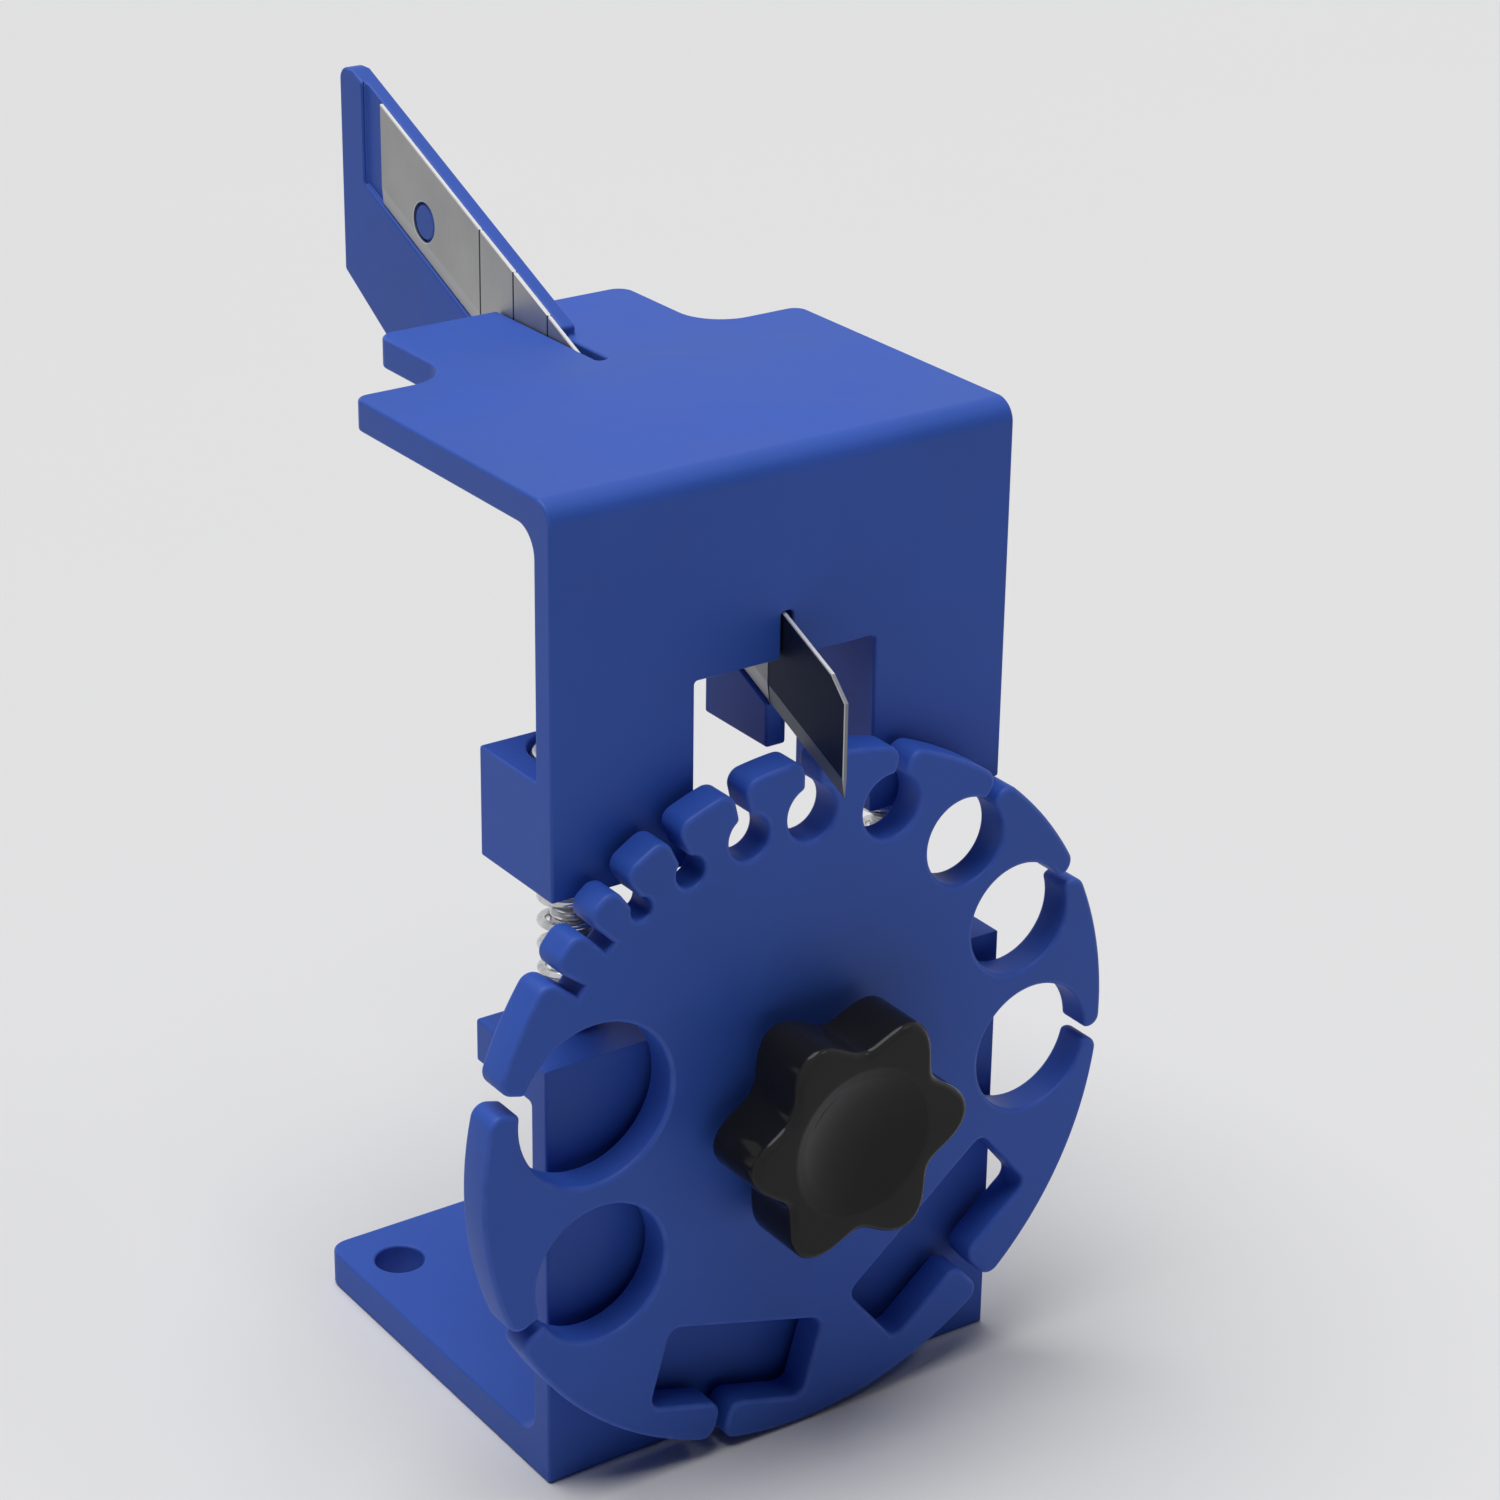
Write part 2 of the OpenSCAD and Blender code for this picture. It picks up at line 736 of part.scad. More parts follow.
// Wound compression spring: a wire carried along a helix whose first and last turn lie close
spring_sides = 6;
spring_steps = 8;
spring_r = (spring_od - spring_wire_d) / 2;
spring_low = front_plate_h + seat_gap + spring_wire_d / 2;
spring_high = head_z - seat_gap - spring_wire_d / 2;
end_pitch = spring_wire_d + end_gap;
mid_pitch = (spring_high - spring_low - 2 * end_pitch) / (spring_turns - 2);
function coil_z(t) = spring_low + end_pitch * min(t, 1) + mid_pitch * max(0, min(t, spring_turns - 1) - 1)
    + end_pitch * max(0, t - spring_turns + 1);
function coil_mid(t) = [spring_r * cos(360 * t), spring_r * sin(360 * t), coil_z(t)];
coil_count = round(spring_turns * spring_steps);
coil_t = [for (i = [0 : coil_count]) spring_turns * i / coil_count];
coil_points = [for (t = coil_t) for (j = [0 : spring_sides - 1])
    let (b = 360 * j / spring_sides, r = spring_r + spring_wire_d / 2 * cos(b))
    [r * cos(360 * t), r * sin(360 * t), coil_z(t) + spring_wire_d / 2 * sin(b)]];
last = coil_count * spring_sides;
coil_faces = concat(
    [for (j = [1 : spring_sides - 2]) [0, j, j + 1]],
    [for (i = [0 : coil_count - 1]) for (j = [0 : spring_sides - 1])
        let (a = i * spring_sides + j, b = i * spring_sides + (j + 1) % spring_sides)
        [a, a + spring_sides, b + spring_sides]],
    [for (i = [0 : coil_count - 1]) for (j = [0 : spring_sides - 1])
        let (a = i * spring_sides + j, b = i * spring_sides + (j + 1) % spring_sides)
        [a, b + spring_sides, b]],
    [for (j = [1 : spring_sides - 2]) [last, last + j + 1, last + j]]);
// Least clear gap of the wire to itself, between points half a turn or more apart
coil_gap = min([for (a = coil_t) for (b = coil_t) if (b - a > 0.5)
    norm(coil_mid(b) - coil_mid(a)) - spring_wire_d]);
echo(least_spring_gap = coil_gap);

module guide_spring(side) {
    color(bright_steel)
        translate([side * guide_pitch / 2, face_y + guide_y, 0])
            polyhedron(coil_points, coil_faces);
}

module guide_spring_left() {
    guide_spring(-1);
}

module guide_spring_right() {
    guide_spring(1);
}

base();
press_head();
blade();
selector_disc();
star_knob();
knob_insert();
knob_washer();
disc_washer();
pivot_bolt();
guide_screw_left();
guide_screw_right();
guide_washer_left();
guide_washer_right();
guide_nut_left();
guide_nut_right();
guide_spring_left();
guide_spring_right();
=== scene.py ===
import math

import bmesh
import bpy
import numpy as np
from mathutils import Matrix, Vector
from mathutils.geometry import delaunay_2d_cdt


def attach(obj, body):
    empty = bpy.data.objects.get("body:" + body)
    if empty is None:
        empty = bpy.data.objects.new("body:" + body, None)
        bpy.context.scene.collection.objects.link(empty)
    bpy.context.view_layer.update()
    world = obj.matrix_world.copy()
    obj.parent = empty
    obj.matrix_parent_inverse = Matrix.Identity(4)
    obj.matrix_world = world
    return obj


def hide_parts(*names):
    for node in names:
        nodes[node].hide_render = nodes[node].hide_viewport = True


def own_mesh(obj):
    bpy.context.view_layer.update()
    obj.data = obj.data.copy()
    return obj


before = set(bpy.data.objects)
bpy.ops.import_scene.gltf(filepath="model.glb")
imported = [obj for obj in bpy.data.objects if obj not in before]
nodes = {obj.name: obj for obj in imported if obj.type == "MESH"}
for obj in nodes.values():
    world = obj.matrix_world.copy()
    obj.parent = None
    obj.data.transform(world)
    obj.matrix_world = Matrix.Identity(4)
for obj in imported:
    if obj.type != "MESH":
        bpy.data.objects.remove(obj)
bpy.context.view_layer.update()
mm = 0.001
print("frame loaded:", len(nodes), "nodes")

# Places in the part's own frame. All sizes are in millimetres until a mesh is made.
place = {
    "frontY": -19.6,      # front face of the bracket's plate and of the head
    "headZ": 55.45,       # lower edge of the head at rest
    "discZ": 32.3,        # axis of disc, knob and pivot bolt
    "discBackY": -20.4,
    "guideX": 16.5,       # axes of the two guide screws, on both sides of the middle
    "guideY": -12.85,
}


# Mesh helpers

mergeDistance = 0.0005    # points nearer than this become one


# Points and faces become an object whose place is in its mesh, with all its faces turned outwards.
def makeMesh(name, points, faces, material, smooth=True):
    mesh = bpy.data.meshes.new(name)
    mesh.from_pydata((np.asarray(points, float) * mm).tolist(), [], [list(map(int, f)) for f in faces])
    mesh.validate()
    merged = bmesh.new()
    merged.from_mesh(mesh)
    bmesh.ops.remove_doubles(merged, verts=merged.verts, dist=mergeDistance * mm)
    bmesh.ops.recalc_face_normals(merged, faces=merged.faces)
    merged.to_mesh(mesh)
    merged.free()
    mesh.polygons.foreach_set("use_smooth", [smooth] * len(mesh.polygons))
    piece = bpy.data.objects.new(name, mesh)
    bpy.context.scene.collection.objects.link(piece)
    piece.data.materials.append(material)
    return piece


# The edge marks give wear on metal and a painted pale highlight along the edges of plastic.
wearAndHighlightLimits = {
    "start": 8.0,         # degrees of bend where an edge begins to show wear on metal and a painted highlight on plastic
    "full": 16.0,         # degrees of bend where the edge mark is full
    "broad": 1.2,         # a face larger than this many square millimetres keeps its corners clean
}


# One of a mesh's properties as a whole array, as rows of a given width where it has more than one value.
def readArray(items, key, kind=float, width=1):
    values = np.empty(len(items) * width, kind)
    items.foreach_get(key, values)
    return values.reshape(-1, width) if width > 1 else values


# Attribute "edge" from 0 to 1: the sharpest outward bend of the edges at a vertex, spread from start to
# full. A bend is outward where the second face's middle lies behind the first face's plane.
def markEdges(mesh, broad=wearAndHighlightLimits["broad"]):
    normal = readArray(mesh.polygons, "normal", width=3)
    centre = readArray(mesh.polygons, "center", width=3)
    area = readArray(mesh.polygons, "area")
    corner = readArray(mesh.loops, "vertex_index", int)
    side = readArray(mesh.loops, "edge_index", int)
    ends = readArray(mesh.edges, "vertices", int, width=2)
    faceOf = np.repeat(np.arange(len(area)), readArray(mesh.polygons, "loop_total", int))
    first = np.full(len(ends), -1)
    last = np.full(len(ends), -1)
    last[side] = faceOf
    first[side[::-1]] = faceOf[::-1]
    bend = np.degrees(np.arccos(np.clip((normal[first] * normal[last]).sum(1), -1, 1)))
    outward = ((centre[last] - centre[first]) * normal[first]).sum(1) < 0
    span = wearAndHighlightLimits["full"] - wearAndHighlightLimits["start"]
    value = np.clip((np.where(outward, bend, 0) - wearAndHighlightLimits["start"]) / span, 0, 1)
    edge = np.zeros(len(mesh.vertices))
    widest = np.zeros(len(mesh.vertices))
    np.maximum.at(edge, ends.ravel(), np.repeat(value, 2))
    np.maximum.at(widest, corner, area[faceOf])
    edge[widest > broad * mm * mm] = 0
    mesh.attributes.new("edge", "FLOAT", "POINT").data.foreach_set("value", edge.astype(np.float32))


# A piece rides on its body and stands in for its node, which is hidden.
def register(piece, body, source):
    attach(piece, body)
    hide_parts(source)


# A finished piece has its edge attribute, for wear on metal and a painted highlight on plastic, and its
# creases where it bends by more degrees than the angle.
def finish(piece, body, source, creaseAngle=32, broad=wearAndHighlightLimits["broad"]):
    markEdges(piece.data, broad)
    piece.data.set_sharp_from_angle(angle=math.radians(creaseAngle))
    register(piece, body, source)


# Quads of a grid of rows by columns, numbered row by row. The columns may join round.
def gridFaces(rows, columns, closeColumns=False):
    r = np.arange(rows - 1)
    c = np.arange(columns if closeColumns else columns - 1)
    r, c = np.meshgrid(r, c, indexing="ij")
    r2, c2 = (r + 1) % rows, (c + 1) % columns
    quads = [r * columns + c, r * columns + c2, r2 * columns + c2, r2 * columns + c]
    return np.stack(quads, -1).reshape(-1, 4)


# Points (cx + radius cos a, cy + radius sin a), with a from start to end in degrees.
def arc(cx, cy, radius, start, end, count):
    a = np.radians(np.linspace(start, end, count))
    return np.stack([cx + radius * np.cos(a), cy + radius * np.sin(a)], -1)


# A full circle, run clockwise, as a hole in a plate is.
def circleHole(cx, cy, radius, count=48):
    return arc(cx, cy, radius, 360, 0, count + 1)[:-1]


# Turns a piece drawn round +Z so that its axis points to the front: (x, y, z) goes to (x, y0 - z, z0 + y).
def stand(points, y, z):
    p = np.asarray(points, float)
    return np.stack([p[:, 0], y - p[:, 2], z + p[:, 1]], -1)


roundSteps = 96           # sides of the turned pieces


# Surface of revolution: (r cos a, r sin a, h) for each (r, h) of the profile and each angle a.
def lathe(profile, steps=roundSteps):
    profile = np.asarray(profile, float)
    a = np.linspace(0, 2 * np.pi, steps, endpoint=False)
    r, h = profile[:, :1], profile[:, 1:]
    points = np.stack([r * np.cos(a), r * np.sin(a), np.broadcast_to(h, (len(profile), steps))], -1)
    return points.reshape(-1, 3), gridFaces(len(profile), steps, closeColumns=True)


# Section of a ring with chamfered corners, closed by repeating its first point.
def ringProfile(inner, outer, low, high, chamfer):
    c = chamfer
    return [(inner + c, low), (outer - c, low), (outer, low + c), (outer, high - c), (outer - c, high),
            (inner + c, high), (inner, high - c), (inner, low + c), (inner + c, low)]


fillTolerance = 1e-6      # two points nearer than this are one to the filling of a figure


# Triangles between a first closed loop and the holes in it, with the extra lines as their edges.
# A triangle stays where its middle lies inside the first loop and in none of the holes.
def fillLoops(loops, lines=()):
    points, edges = [], []
    for loop in loops:
        n, at = len(loop), sum(map(len, points))
        points.append(loop)
        edges += [(at + i, at + (i + 1) % n) for i in range(n)]
    for line in lines:
        at = sum(map(len, points))
        points.append(line)
        edges += [(at + i, at + i + 1) for i in range(len(line) - 1)]
    flat = [Vector(p) for p in np.concatenate(points)]
    verts, _, faces, _, _, _ = delaunay_2d_cdt(flat, edges, [], 0, fillTolerance)
    verts = np.array([tuple(v) for v in verts])
    faces = np.array([f for f in faces if len(f) == 3])
    centre = verts[faces].mean(1)
    keep = insideLoop(centre, loops[0])
    for hole in loops[1:]:
        keep &= ~insideLoop(centre, hole)
    return verts, faces[keep]


# A point is inside where a ray along +X crosses the loop an odd number of times.
def insideLoop(points, loop):
    a, b = loop, np.roll(loop, -1, axis=0)
    px, py = points[:, :1], points[:, 1:2]
    spans = (a[:, 1] > py) != (b[:, 1] > py)
    rise = np.where(b[:, 1] == a[:, 1], 1e-12, b[:, 1] - a[:, 1])    # a level step is never crossed
    crossing = a[:, 0] + (py - a[:, 1]) / rise * (b[:, 0] - a[:, 0])
    return (spans & (px < crossing)).sum(1) % 2 == 1


sharpestMiter = 0.35      # bounds the lengthening of a normal at a sharp corner


# Inward normals of a counterclockwise loop: the sum of both steps' unit normals over 1 plus their product,
# so that an inset keeps its width at a corner.
def inward(loop):
    step = np.roll(loop, -1, axis=0) - loop
    step /= np.linalg.norm(step, axis=1)[:, None]
    normal = np.stack([-step[:, 1], step[:, 0]], -1)
    before = np.roll(normal, 1, axis=0)
    total = normal + before
    return total / np.maximum(1 + (normal * before).sum(1), sharpestMiter)[:, None]


# A plate from z = 0 up to its thickness. Each loop is carried through a profile of inset and height, with
# a quarter round at both ends and a narrow flat rim beyond it, and then the flat ends are filled. Holes
# run clockwise, so that inward points into the material for them too.
def slab(outer, holes, thickness, rounding, flatRim, steps=5):
    a = np.radians(np.linspace(0, 90, steps + 1))
    inset = rounding * (1 - np.cos(a))
    height = rounding * (1 - np.sin(a))
    rim = rounding + flatRim
    insets = np.concatenate([[rim], inset[::-1], inset, [rim]])
    heights = np.concatenate([[0], height[::-1], thickness - height, [thickness]])
    points, faces, count = [], [], 0
    ends = [[], []]
    for loop in [outer, *holes]:
        n = len(loop)
        flat = loop[None] + insets[:, None, None] * inward(loop)[None]
        upright = np.broadcast_to(heights[:, None, None], (len(insets), n, 1))
        points.append(np.concatenate([flat, upright], -1).reshape(-1, 3))
        faces += (gridFaces(len(insets), n, closeColumns=True) + count).tolist()
        ends[0].append(flat[0])
        ends[1].append(flat[-1])
        count += len(insets) * n
    for loops, z in zip(ends, (0, thickness)):
        flat, triangles = fillLoops(loops)
        points.append(np.column_stack([flat, np.full(len(flat), z)]))
        faces += (triangles + count).tolist()
        count += len(flat)
    return np.concatenate(points), faces


# Node helpers

# A new node. An input whose value is a socket of another node is linked to it, and any other is set.
def node(tree, kind, inputs=None, **settings):
    made = tree.nodes.new(kind)
    for key, value in settings.items():
        setattr(made, key, value)
    for key, value in (inputs or {}).items():
        if isinstance(value, bpy.types.NodeSocket):
            tree.links.new(value, made.inputs[key])
        else:
            made.inputs[key].default_value = value
    return made


# A new group. An input is a number where its default is one, and else a vector. Outputs are numbers.
def newGroup(name, inputs, outputs):
    group = bpy.data.node_groups.new(name, "ShaderNodeTree")
    for label, value in inputs.items():
        kind = "NodeSocketFloat" if isinstance(value, float) else "NodeSocketVector"
        socket = group.interface.new_socket(name=label, in_out="INPUT", socket_type=kind)
        if value is not None:
            socket.default_value = value
    for label in outputs:
        group.interface.new_socket(name=label, in_out="OUTPUT", socket_type="NodeSocketFloat")
    return group, group.nodes.new("NodeGroupInput").outputs


def placeGroup(tree, group, inputs):
    return node(tree, "ShaderNodeGroup", inputs, node_tree=group).outputs


# The value's place between the two given numbers becomes the same place between the two wanted ones.
def mapRange(tree, value, given, wanted):
    made = node(tree, "ShaderNodeMapRange", {
        "Value": value, "From Min": given[0], "From Max": given[1],
        "To Min": wanted[0], "To Max": wanted[1]})
    return made.outputs["Result"]


# First colour where the share is 0 and second colour where it is 1. Each is a socket or three numbers.
def mixColours(tree, share, first, second):
    first, second = ((*c, 1) if isinstance(c, tuple) else c for c in (first, second))
    return node(tree, "ShaderNodeMix", {0: share, 6: first, 7: second}, data_type="RGBA").outputs[2]


def bump(tree, height, strength, depth):
    made = node(tree, "ShaderNodeBump", {"Height": height, "Strength": strength, "Distance": depth * mm})
    return made.outputs["Normal"]


def meshAttribute(tree, name):
    return node(tree, "ShaderNodeAttribute", attribute_name=name).outputs["Fac"]


# Shared effects

# The spans are the parts of a noise's range that hold most of its values.
noiseSpan = {"cloud": (0.3, 0.7), "tarnish": (0.35, 0.7), "marks": (0.25, 0.75), "breaks": (0.35, 0.62)}
leastWearAndHighlight = 0.35          # share of the edge wear, and of the painted edge highlight, that is left where its noise is lowest


# Soft cloudy unevenness of a dyed or moulded surface and a fine grain: two noises of different scale.
def buildMottleGroup():
    group, given = newGroup(
        "surfaceMottle", {"Vector": None, "Cloud Scale": 60.0, "Grain Scale": 4000.0}, ("Cloud", "Grain"))
    cloud = node(group, "ShaderNodeTexNoise", {
        "Vector": given["Vector"], "Scale": given["Cloud Scale"], "Detail": 4.0, "Roughness": 0.55})
    grain = node(group, "ShaderNodeTexNoise", {
        "Vector": given["Vector"], "Scale": given["Grain Scale"], "Detail": 2.0, "Roughness": 0.6})
    node(group, "NodeGroupOutput", {"Cloud": cloud.outputs["Fac"], "Grain": grain.outputs["Fac"]})
    return group


# Worn edges on metal and a painted pale highlight along plastic edges: the mesh's edge attribute times a
# noise that breaks it up.
def buildEdgeWearAndHighlightGroup():
    group, given = newGroup("edgeWearAndHighlight", {"Vector": None, "Break Scale": 500.0}, ("Mask",))
    breaks = node(group, "ShaderNodeTexNoise", {
        "Vector": given["Vector"], "Scale": given["Break Scale"], "Detail": 3.0})
    level = mapRange(group, breaks.outputs["Fac"], noiseSpan["breaks"], (leastWearAndHighlight, 1.0))
    mask = node(group, "ShaderNodeMath", {0: meshAttribute(group, "edge"), 1: level}, operation="MULTIPLY")
    node(group, "NodeGroupOutput", {"Mask": mask.outputs[0]})
    return group


# Fine straight grinding marks: a noise drawn out by a different scale along each axis.
def buildBrushGroup():
    group, given = newGroup(
        "brushMarks", {"Vector": None, "Scale": 400.0, "Stretch": (1.0, 40.0, 40.0)}, ("Marks",))
    drawn = node(group, "ShaderNodeVectorMath", {
        0: given["Vector"], 1: given["Stretch"]}, operation="MULTIPLY")
    noise = node(group, "ShaderNodeTexNoise", {
        "Vector": drawn.outputs[0], "Scale": given["Scale"], "Detail": 3.0, "Roughness": 0.6})
    node(group, "NodeGroupOutput", {"Marks": noise.outputs["Fac"]})
    return group


mottleGroup = buildMottleGroup()
edgeWearAndHighlightGroup = buildEdgeWearAndHighlightGroup()
brushGroup = buildBrushGroup()


# Materials

# An empty material, its nodes and the object coordinates.
def newMaterial(name):
    material = bpy.data.materials.new(name)
    material.use_nodes = True
    tree = material.node_tree
    tree.nodes.clear()
    return material, tree, node(tree, "ShaderNodeTexCoord").outputs["Object"]


def addShader(tree, inputs):
    shader = node(tree, "ShaderNodeBsdfPrincipled", inputs)
    node(tree, "ShaderNodeOutputMaterial", {"Surface": shader.outputs["BSDF"]})


# Plastic with cloudy colour, uneven gloss, fine grain and a painted pale highlight along its edges.
def plasticMaterial(name, look):
    material, tree, vector = newMaterial(name)
    mottle = placeGroup(tree, mottleGroup, {
        "Vector": vector, "Cloud Scale": look["cloudScale"], "Grain Scale": look["grainScale"]})
    wearAndHighlightMask = placeGroup(tree, edgeWearAndHighlightGroup, {"Vector": vector, "Break Scale": look["breakScale"]})
    cloud = mapRange(tree, mottle["Cloud"], noiseSpan["cloud"], (0.0, 1.0))
    body = mixColours(tree, cloud, look["dark"], look["light"])
    # The pale edge colour is a painted highlight along the plastic's edges.
    wornAndHighlit = node(tree, "ShaderNodeMath", {0: wearAndHighlightMask["Mask"], 1: look["edgeHighlightAmount"]}, operation="MULTIPLY")
    addShader(tree, {
        "Base Color": mixColours(tree, wornAndHighlit.outputs[0], body, look["wornAndHighlit"]),
        "Roughness": mapRange(tree, mottle["Cloud"], noiseSpan["cloud"], look["roughness"]),
        "Specular IOR Level": look["specular"],
        "Normal": bump(tree, mottle["Grain"], look["bump"], look["grainDepth"]),
    })
    return material


# Painted shade in the score lines, a painted dark reflection and shade on the steel in front of a set plane
# of Y, and brighter steel where it is ground, with a painted highlight on its rim, chamfer and front faces.
def bladeColours(tree, vector, body, look):
    axes = node(tree, "ShaderNodeSeparateXYZ", {0: vector})
    end, half = look["tipShadeEnd"], look["tipShadeBlend"] / 2
    # The front share lays the tip's painted dark reflection and shade over the steel.
    front = mapRange(tree, axes.outputs["Y"], ((end + half) * mm, (end - half) * mm), (0.0, 1.0))
    # Score faces get painted shade.
    scoreShaded = mixColours(tree, meshAttribute(tree, "score"), body, look["score"])
    tipShaded = mixColours(tree, front, scoreShaded, look["tip"])
    # Ground faces get brighter steel, with a painted highlight on rim, chamfer and front faces.
    return mixColours(tree, meshAttribute(tree, "ground"), tipShaded, look["ground"])


# Metal with stretched grinding marks in its gloss and height, cloudy tarnish and bright worn edges.
def metalMaterial(name, look):
    material, tree, vector = newMaterial(name)
    marks = placeGroup(tree, brushGroup, {
        "Vector": vector, "Scale": look["markScale"], "Stretch": look["stretch"]})["Marks"]
    mottle = placeGroup(tree, mottleGroup, {"Vector": vector, "Cloud Scale": look["cloudScale"]})
    wearAndHighlightMask = placeGroup(tree, edgeWearAndHighlightGroup, {"Vector": vector, "Break Scale": metalBreakScale})
    tarnish = mapRange(tree, mottle["Cloud"], noiseSpan["tarnish"], (0.0, 1.0))
    body = mixColours(tree, tarnish, look["dark"], look["light"])
    if "tip" in look:
        body = bladeColours(tree, vector, body, look)
    addShader(tree, {
        "Base Color": mixColours(tree, wearAndHighlightMask["Mask"], body, look["wornAndHighlit"]),
        "Metallic": 1.0,
        "Roughness": mapRange(tree, marks, noiseSpan["marks"], look["roughness"]),
        "Normal": bump(tree, marks, look["bump"], look["markDepth"]),
    })
    return material


# Scales are per metre, and depths in millimetres. Roughness goes from its first value to its second.
metalBreakScale = 900.0
# On the plastics the pale edge colour and its amount paint a highlight along the edges.
printLook = {
    "dark": (0.0255, 0.088, 0.425), "light": (0.034, 0.100, 0.49), "wornAndHighlit": (0.10, 0.17, 0.62),
    "specular": 0.25, "roughness": (0.44, 0.56), "cloudScale": 55.0, "grainScale": 3600.0,
    "breakScale": 420.0, "edgeHighlightAmount": 0.3, "bump": 0.22, "grainDepth": 0.02,
}
knobLook = {
    "dark": (0.0105, 0.0105, 0.011), "light": (0.0145, 0.0142, 0.0145), "wornAndHighlit": (0.09, 0.09, 0.095),
    "specular": 0.16, "roughness": (0.11, 0.17), "cloudScale": 90.0, "grainScale": 5200.0,
    "breakScale": 700.0, "edgeHighlightAmount": 0.08, "bump": 0.12, "grainDepth": 0.012,
}
bladeLook = {
    "dark": (0.33, 0.33, 0.335), "light": (0.41, 0.41, 0.405), "wornAndHighlit": (0.7, 0.7, 0.7),
    "markScale": 420.0, "stretch": (1.0, 12.0, 0.6), "cloudScale": 60.0,
    "roughness": (0.46, 0.54), "bump": 0.08, "markDepth": 0.005,
    # tip is a painted dark reflection and shade on the steel in front.
    "tip": (0.03, 0.04, 0.07), "tipShadeEnd": -17.6, "tipShadeBlend": 0.1,    # the painted dark reflection and shade on the tip ends at this Y
    # ground is brighter ground steel on the bevel, and a painted highlight on the rim, chamfer and front
    # faces.
    "ground": (0.52, 0.52, 0.52), "bevelShare": 0.3, "frontHighlightShare": 0.35,
    # score is painted shade in the score grooves.
    "score": (0.07, 0.07, 0.08),
}
screwLook = {
    "dark": (0.36, 0.37, 0.38), "light": (0.50, 0.51, 0.53), "wornAndHighlit": (0.75, 0.75, 0.76),
    "markScale": 500.0, "stretch": (1.0, 1.0, 8.0), "cloudScale": 260.0,
    "roughness": (0.24, 0.42), "bump": 0.12, "markDepth": 0.008,
}
springLook = {
    "dark": (0.36, 0.37, 0.38), "light": (0.52, 0.53, 0.54), "wornAndHighlit": (0.7, 0.7, 0.7),
    "markScale": 700.0, "stretch": (6.0, 6.0, 1.0), "cloudScale": 300.0,
    "roughness": (0.16, 0.3), "bump": 0.1, "markDepth": 0.006,
}
washerLook = {
    "dark": (0.45, 0.46, 0.47), "light": (0.62, 0.63, 0.64), "wornAndHighlit": (0.8, 0.8, 0.8),
    "markScale": 420.0, "stretch": (8.0, 1.0, 1.0), "cloudScale": 240.0,
    "roughness": (0.22, 0.4), "bump": 0.12, "markDepth": 0.008,
}
brassLook = {
    "dark": (0.52, 0.36, 0.13), "light": (0.66, 0.47, 0.19), "wornAndHighlit": (0.85, 0.68, 0.36),
    "markScale": 500.0, "stretch": (1.0, 12.0, 1.0), "cloudScale": 260.0,
    "roughness": (0.22, 0.38), "bump": 0.12, "markDepth": 0.008,
}
materials = {
    "print": plasticMaterial("printBlue", printLook),
    "knob": plasticMaterial("mouldedBlack", knobLook),
    "blade": metalMaterial("bladeSteel", bladeLook),
    "screw": metalMaterial("screwSteel", screwLook),
    "spring": metalMaterial("springSteel", springLook),
    "washer": metalMaterial("washerSteel", washerLook),
    "brass": metalMaterial("turnedBrass", brassLook),
}
print("materials built:", len(materials))


# Printed bracket and head: copies of the CAD meshes with their edges rounded

printed = {
    "edge": 0.28,         # radius of the rounded edges
    "steps": 3,
    "angle": 28,          # an edge that bends by more degrees than this is rounded
    "merge": 0.004,       # points nearer than this become one
    "flat": 0.6,          # faces that bend by fewer degrees than this become one
}


# A merged copy of a CAD mesh, its flat faces made whole again, so that a bevel can run along each edge.
def roundedCopy(name, source):
    mesh = nodes[source].data.copy()
    mesh.name = name
    shape = bmesh.new()
    shape.from_mesh(mesh)
    bmesh.ops.remove_doubles(shape, verts=shape.verts, dist=printed["merge"] * mm)
    bmesh.ops.dissolve_limit(
        shape, angle_limit=math.radians(printed["flat"]), verts=shape.verts, edges=shape.edges)
    shape.to_mesh(mesh)
    shape.free()
    piece = bpy.data.objects.new(name, mesh)
    bpy.context.scene.collection.objects.link(piece)
    mesh.materials.clear()
    mesh.materials.append(materials["print"])
    mesh.polygons.foreach_set("use_smooth", [True] * len(mesh.polygons))
    bevel = piece.modifiers.new("edges", "BEVEL")
    bevel.width = printed["edge"] * mm
    bevel.segments = printed["steps"]
    bevel.limit_method = "ANGLE"
    bevel.angle_limit = math.radians(printed["angle"])
    bevel.miter_outer = "MITER_ARC"
    bevel.use_clamp_overlap = False
    bevel.harden_normals = True
    evened = piece.modifiers.new("evened", "WEIGHTED_NORMAL")
    evened.mode = "FACE_AREA"
    evened.weight = 100
    evened.keep_sharp = True
    return piece


# The mesh with its modifiers applied takes the place of the plain one, so that its painted edge highlight
# can be marked on it.
def applyModifiers(piece):
    graph = bpy.context.evaluated_depsgraph_get()
    shaped = piece.evaluated_get(graph)
    mesh = bpy.data.meshes.new_from_object(shaped, preserve_all_data_layers=True, depsgraph=graph)
    piece.modifiers.clear()
    piece.data = mesh


for source, body in (("base", "bracket"), ("press_head", "head")):
    piece = roundedCopy(source + "Printed", source)
    applyModifiers(piece)
    markEdges(piece.data)
    register(piece, body, source)
print("bracket and head rounded")


# Selector disc

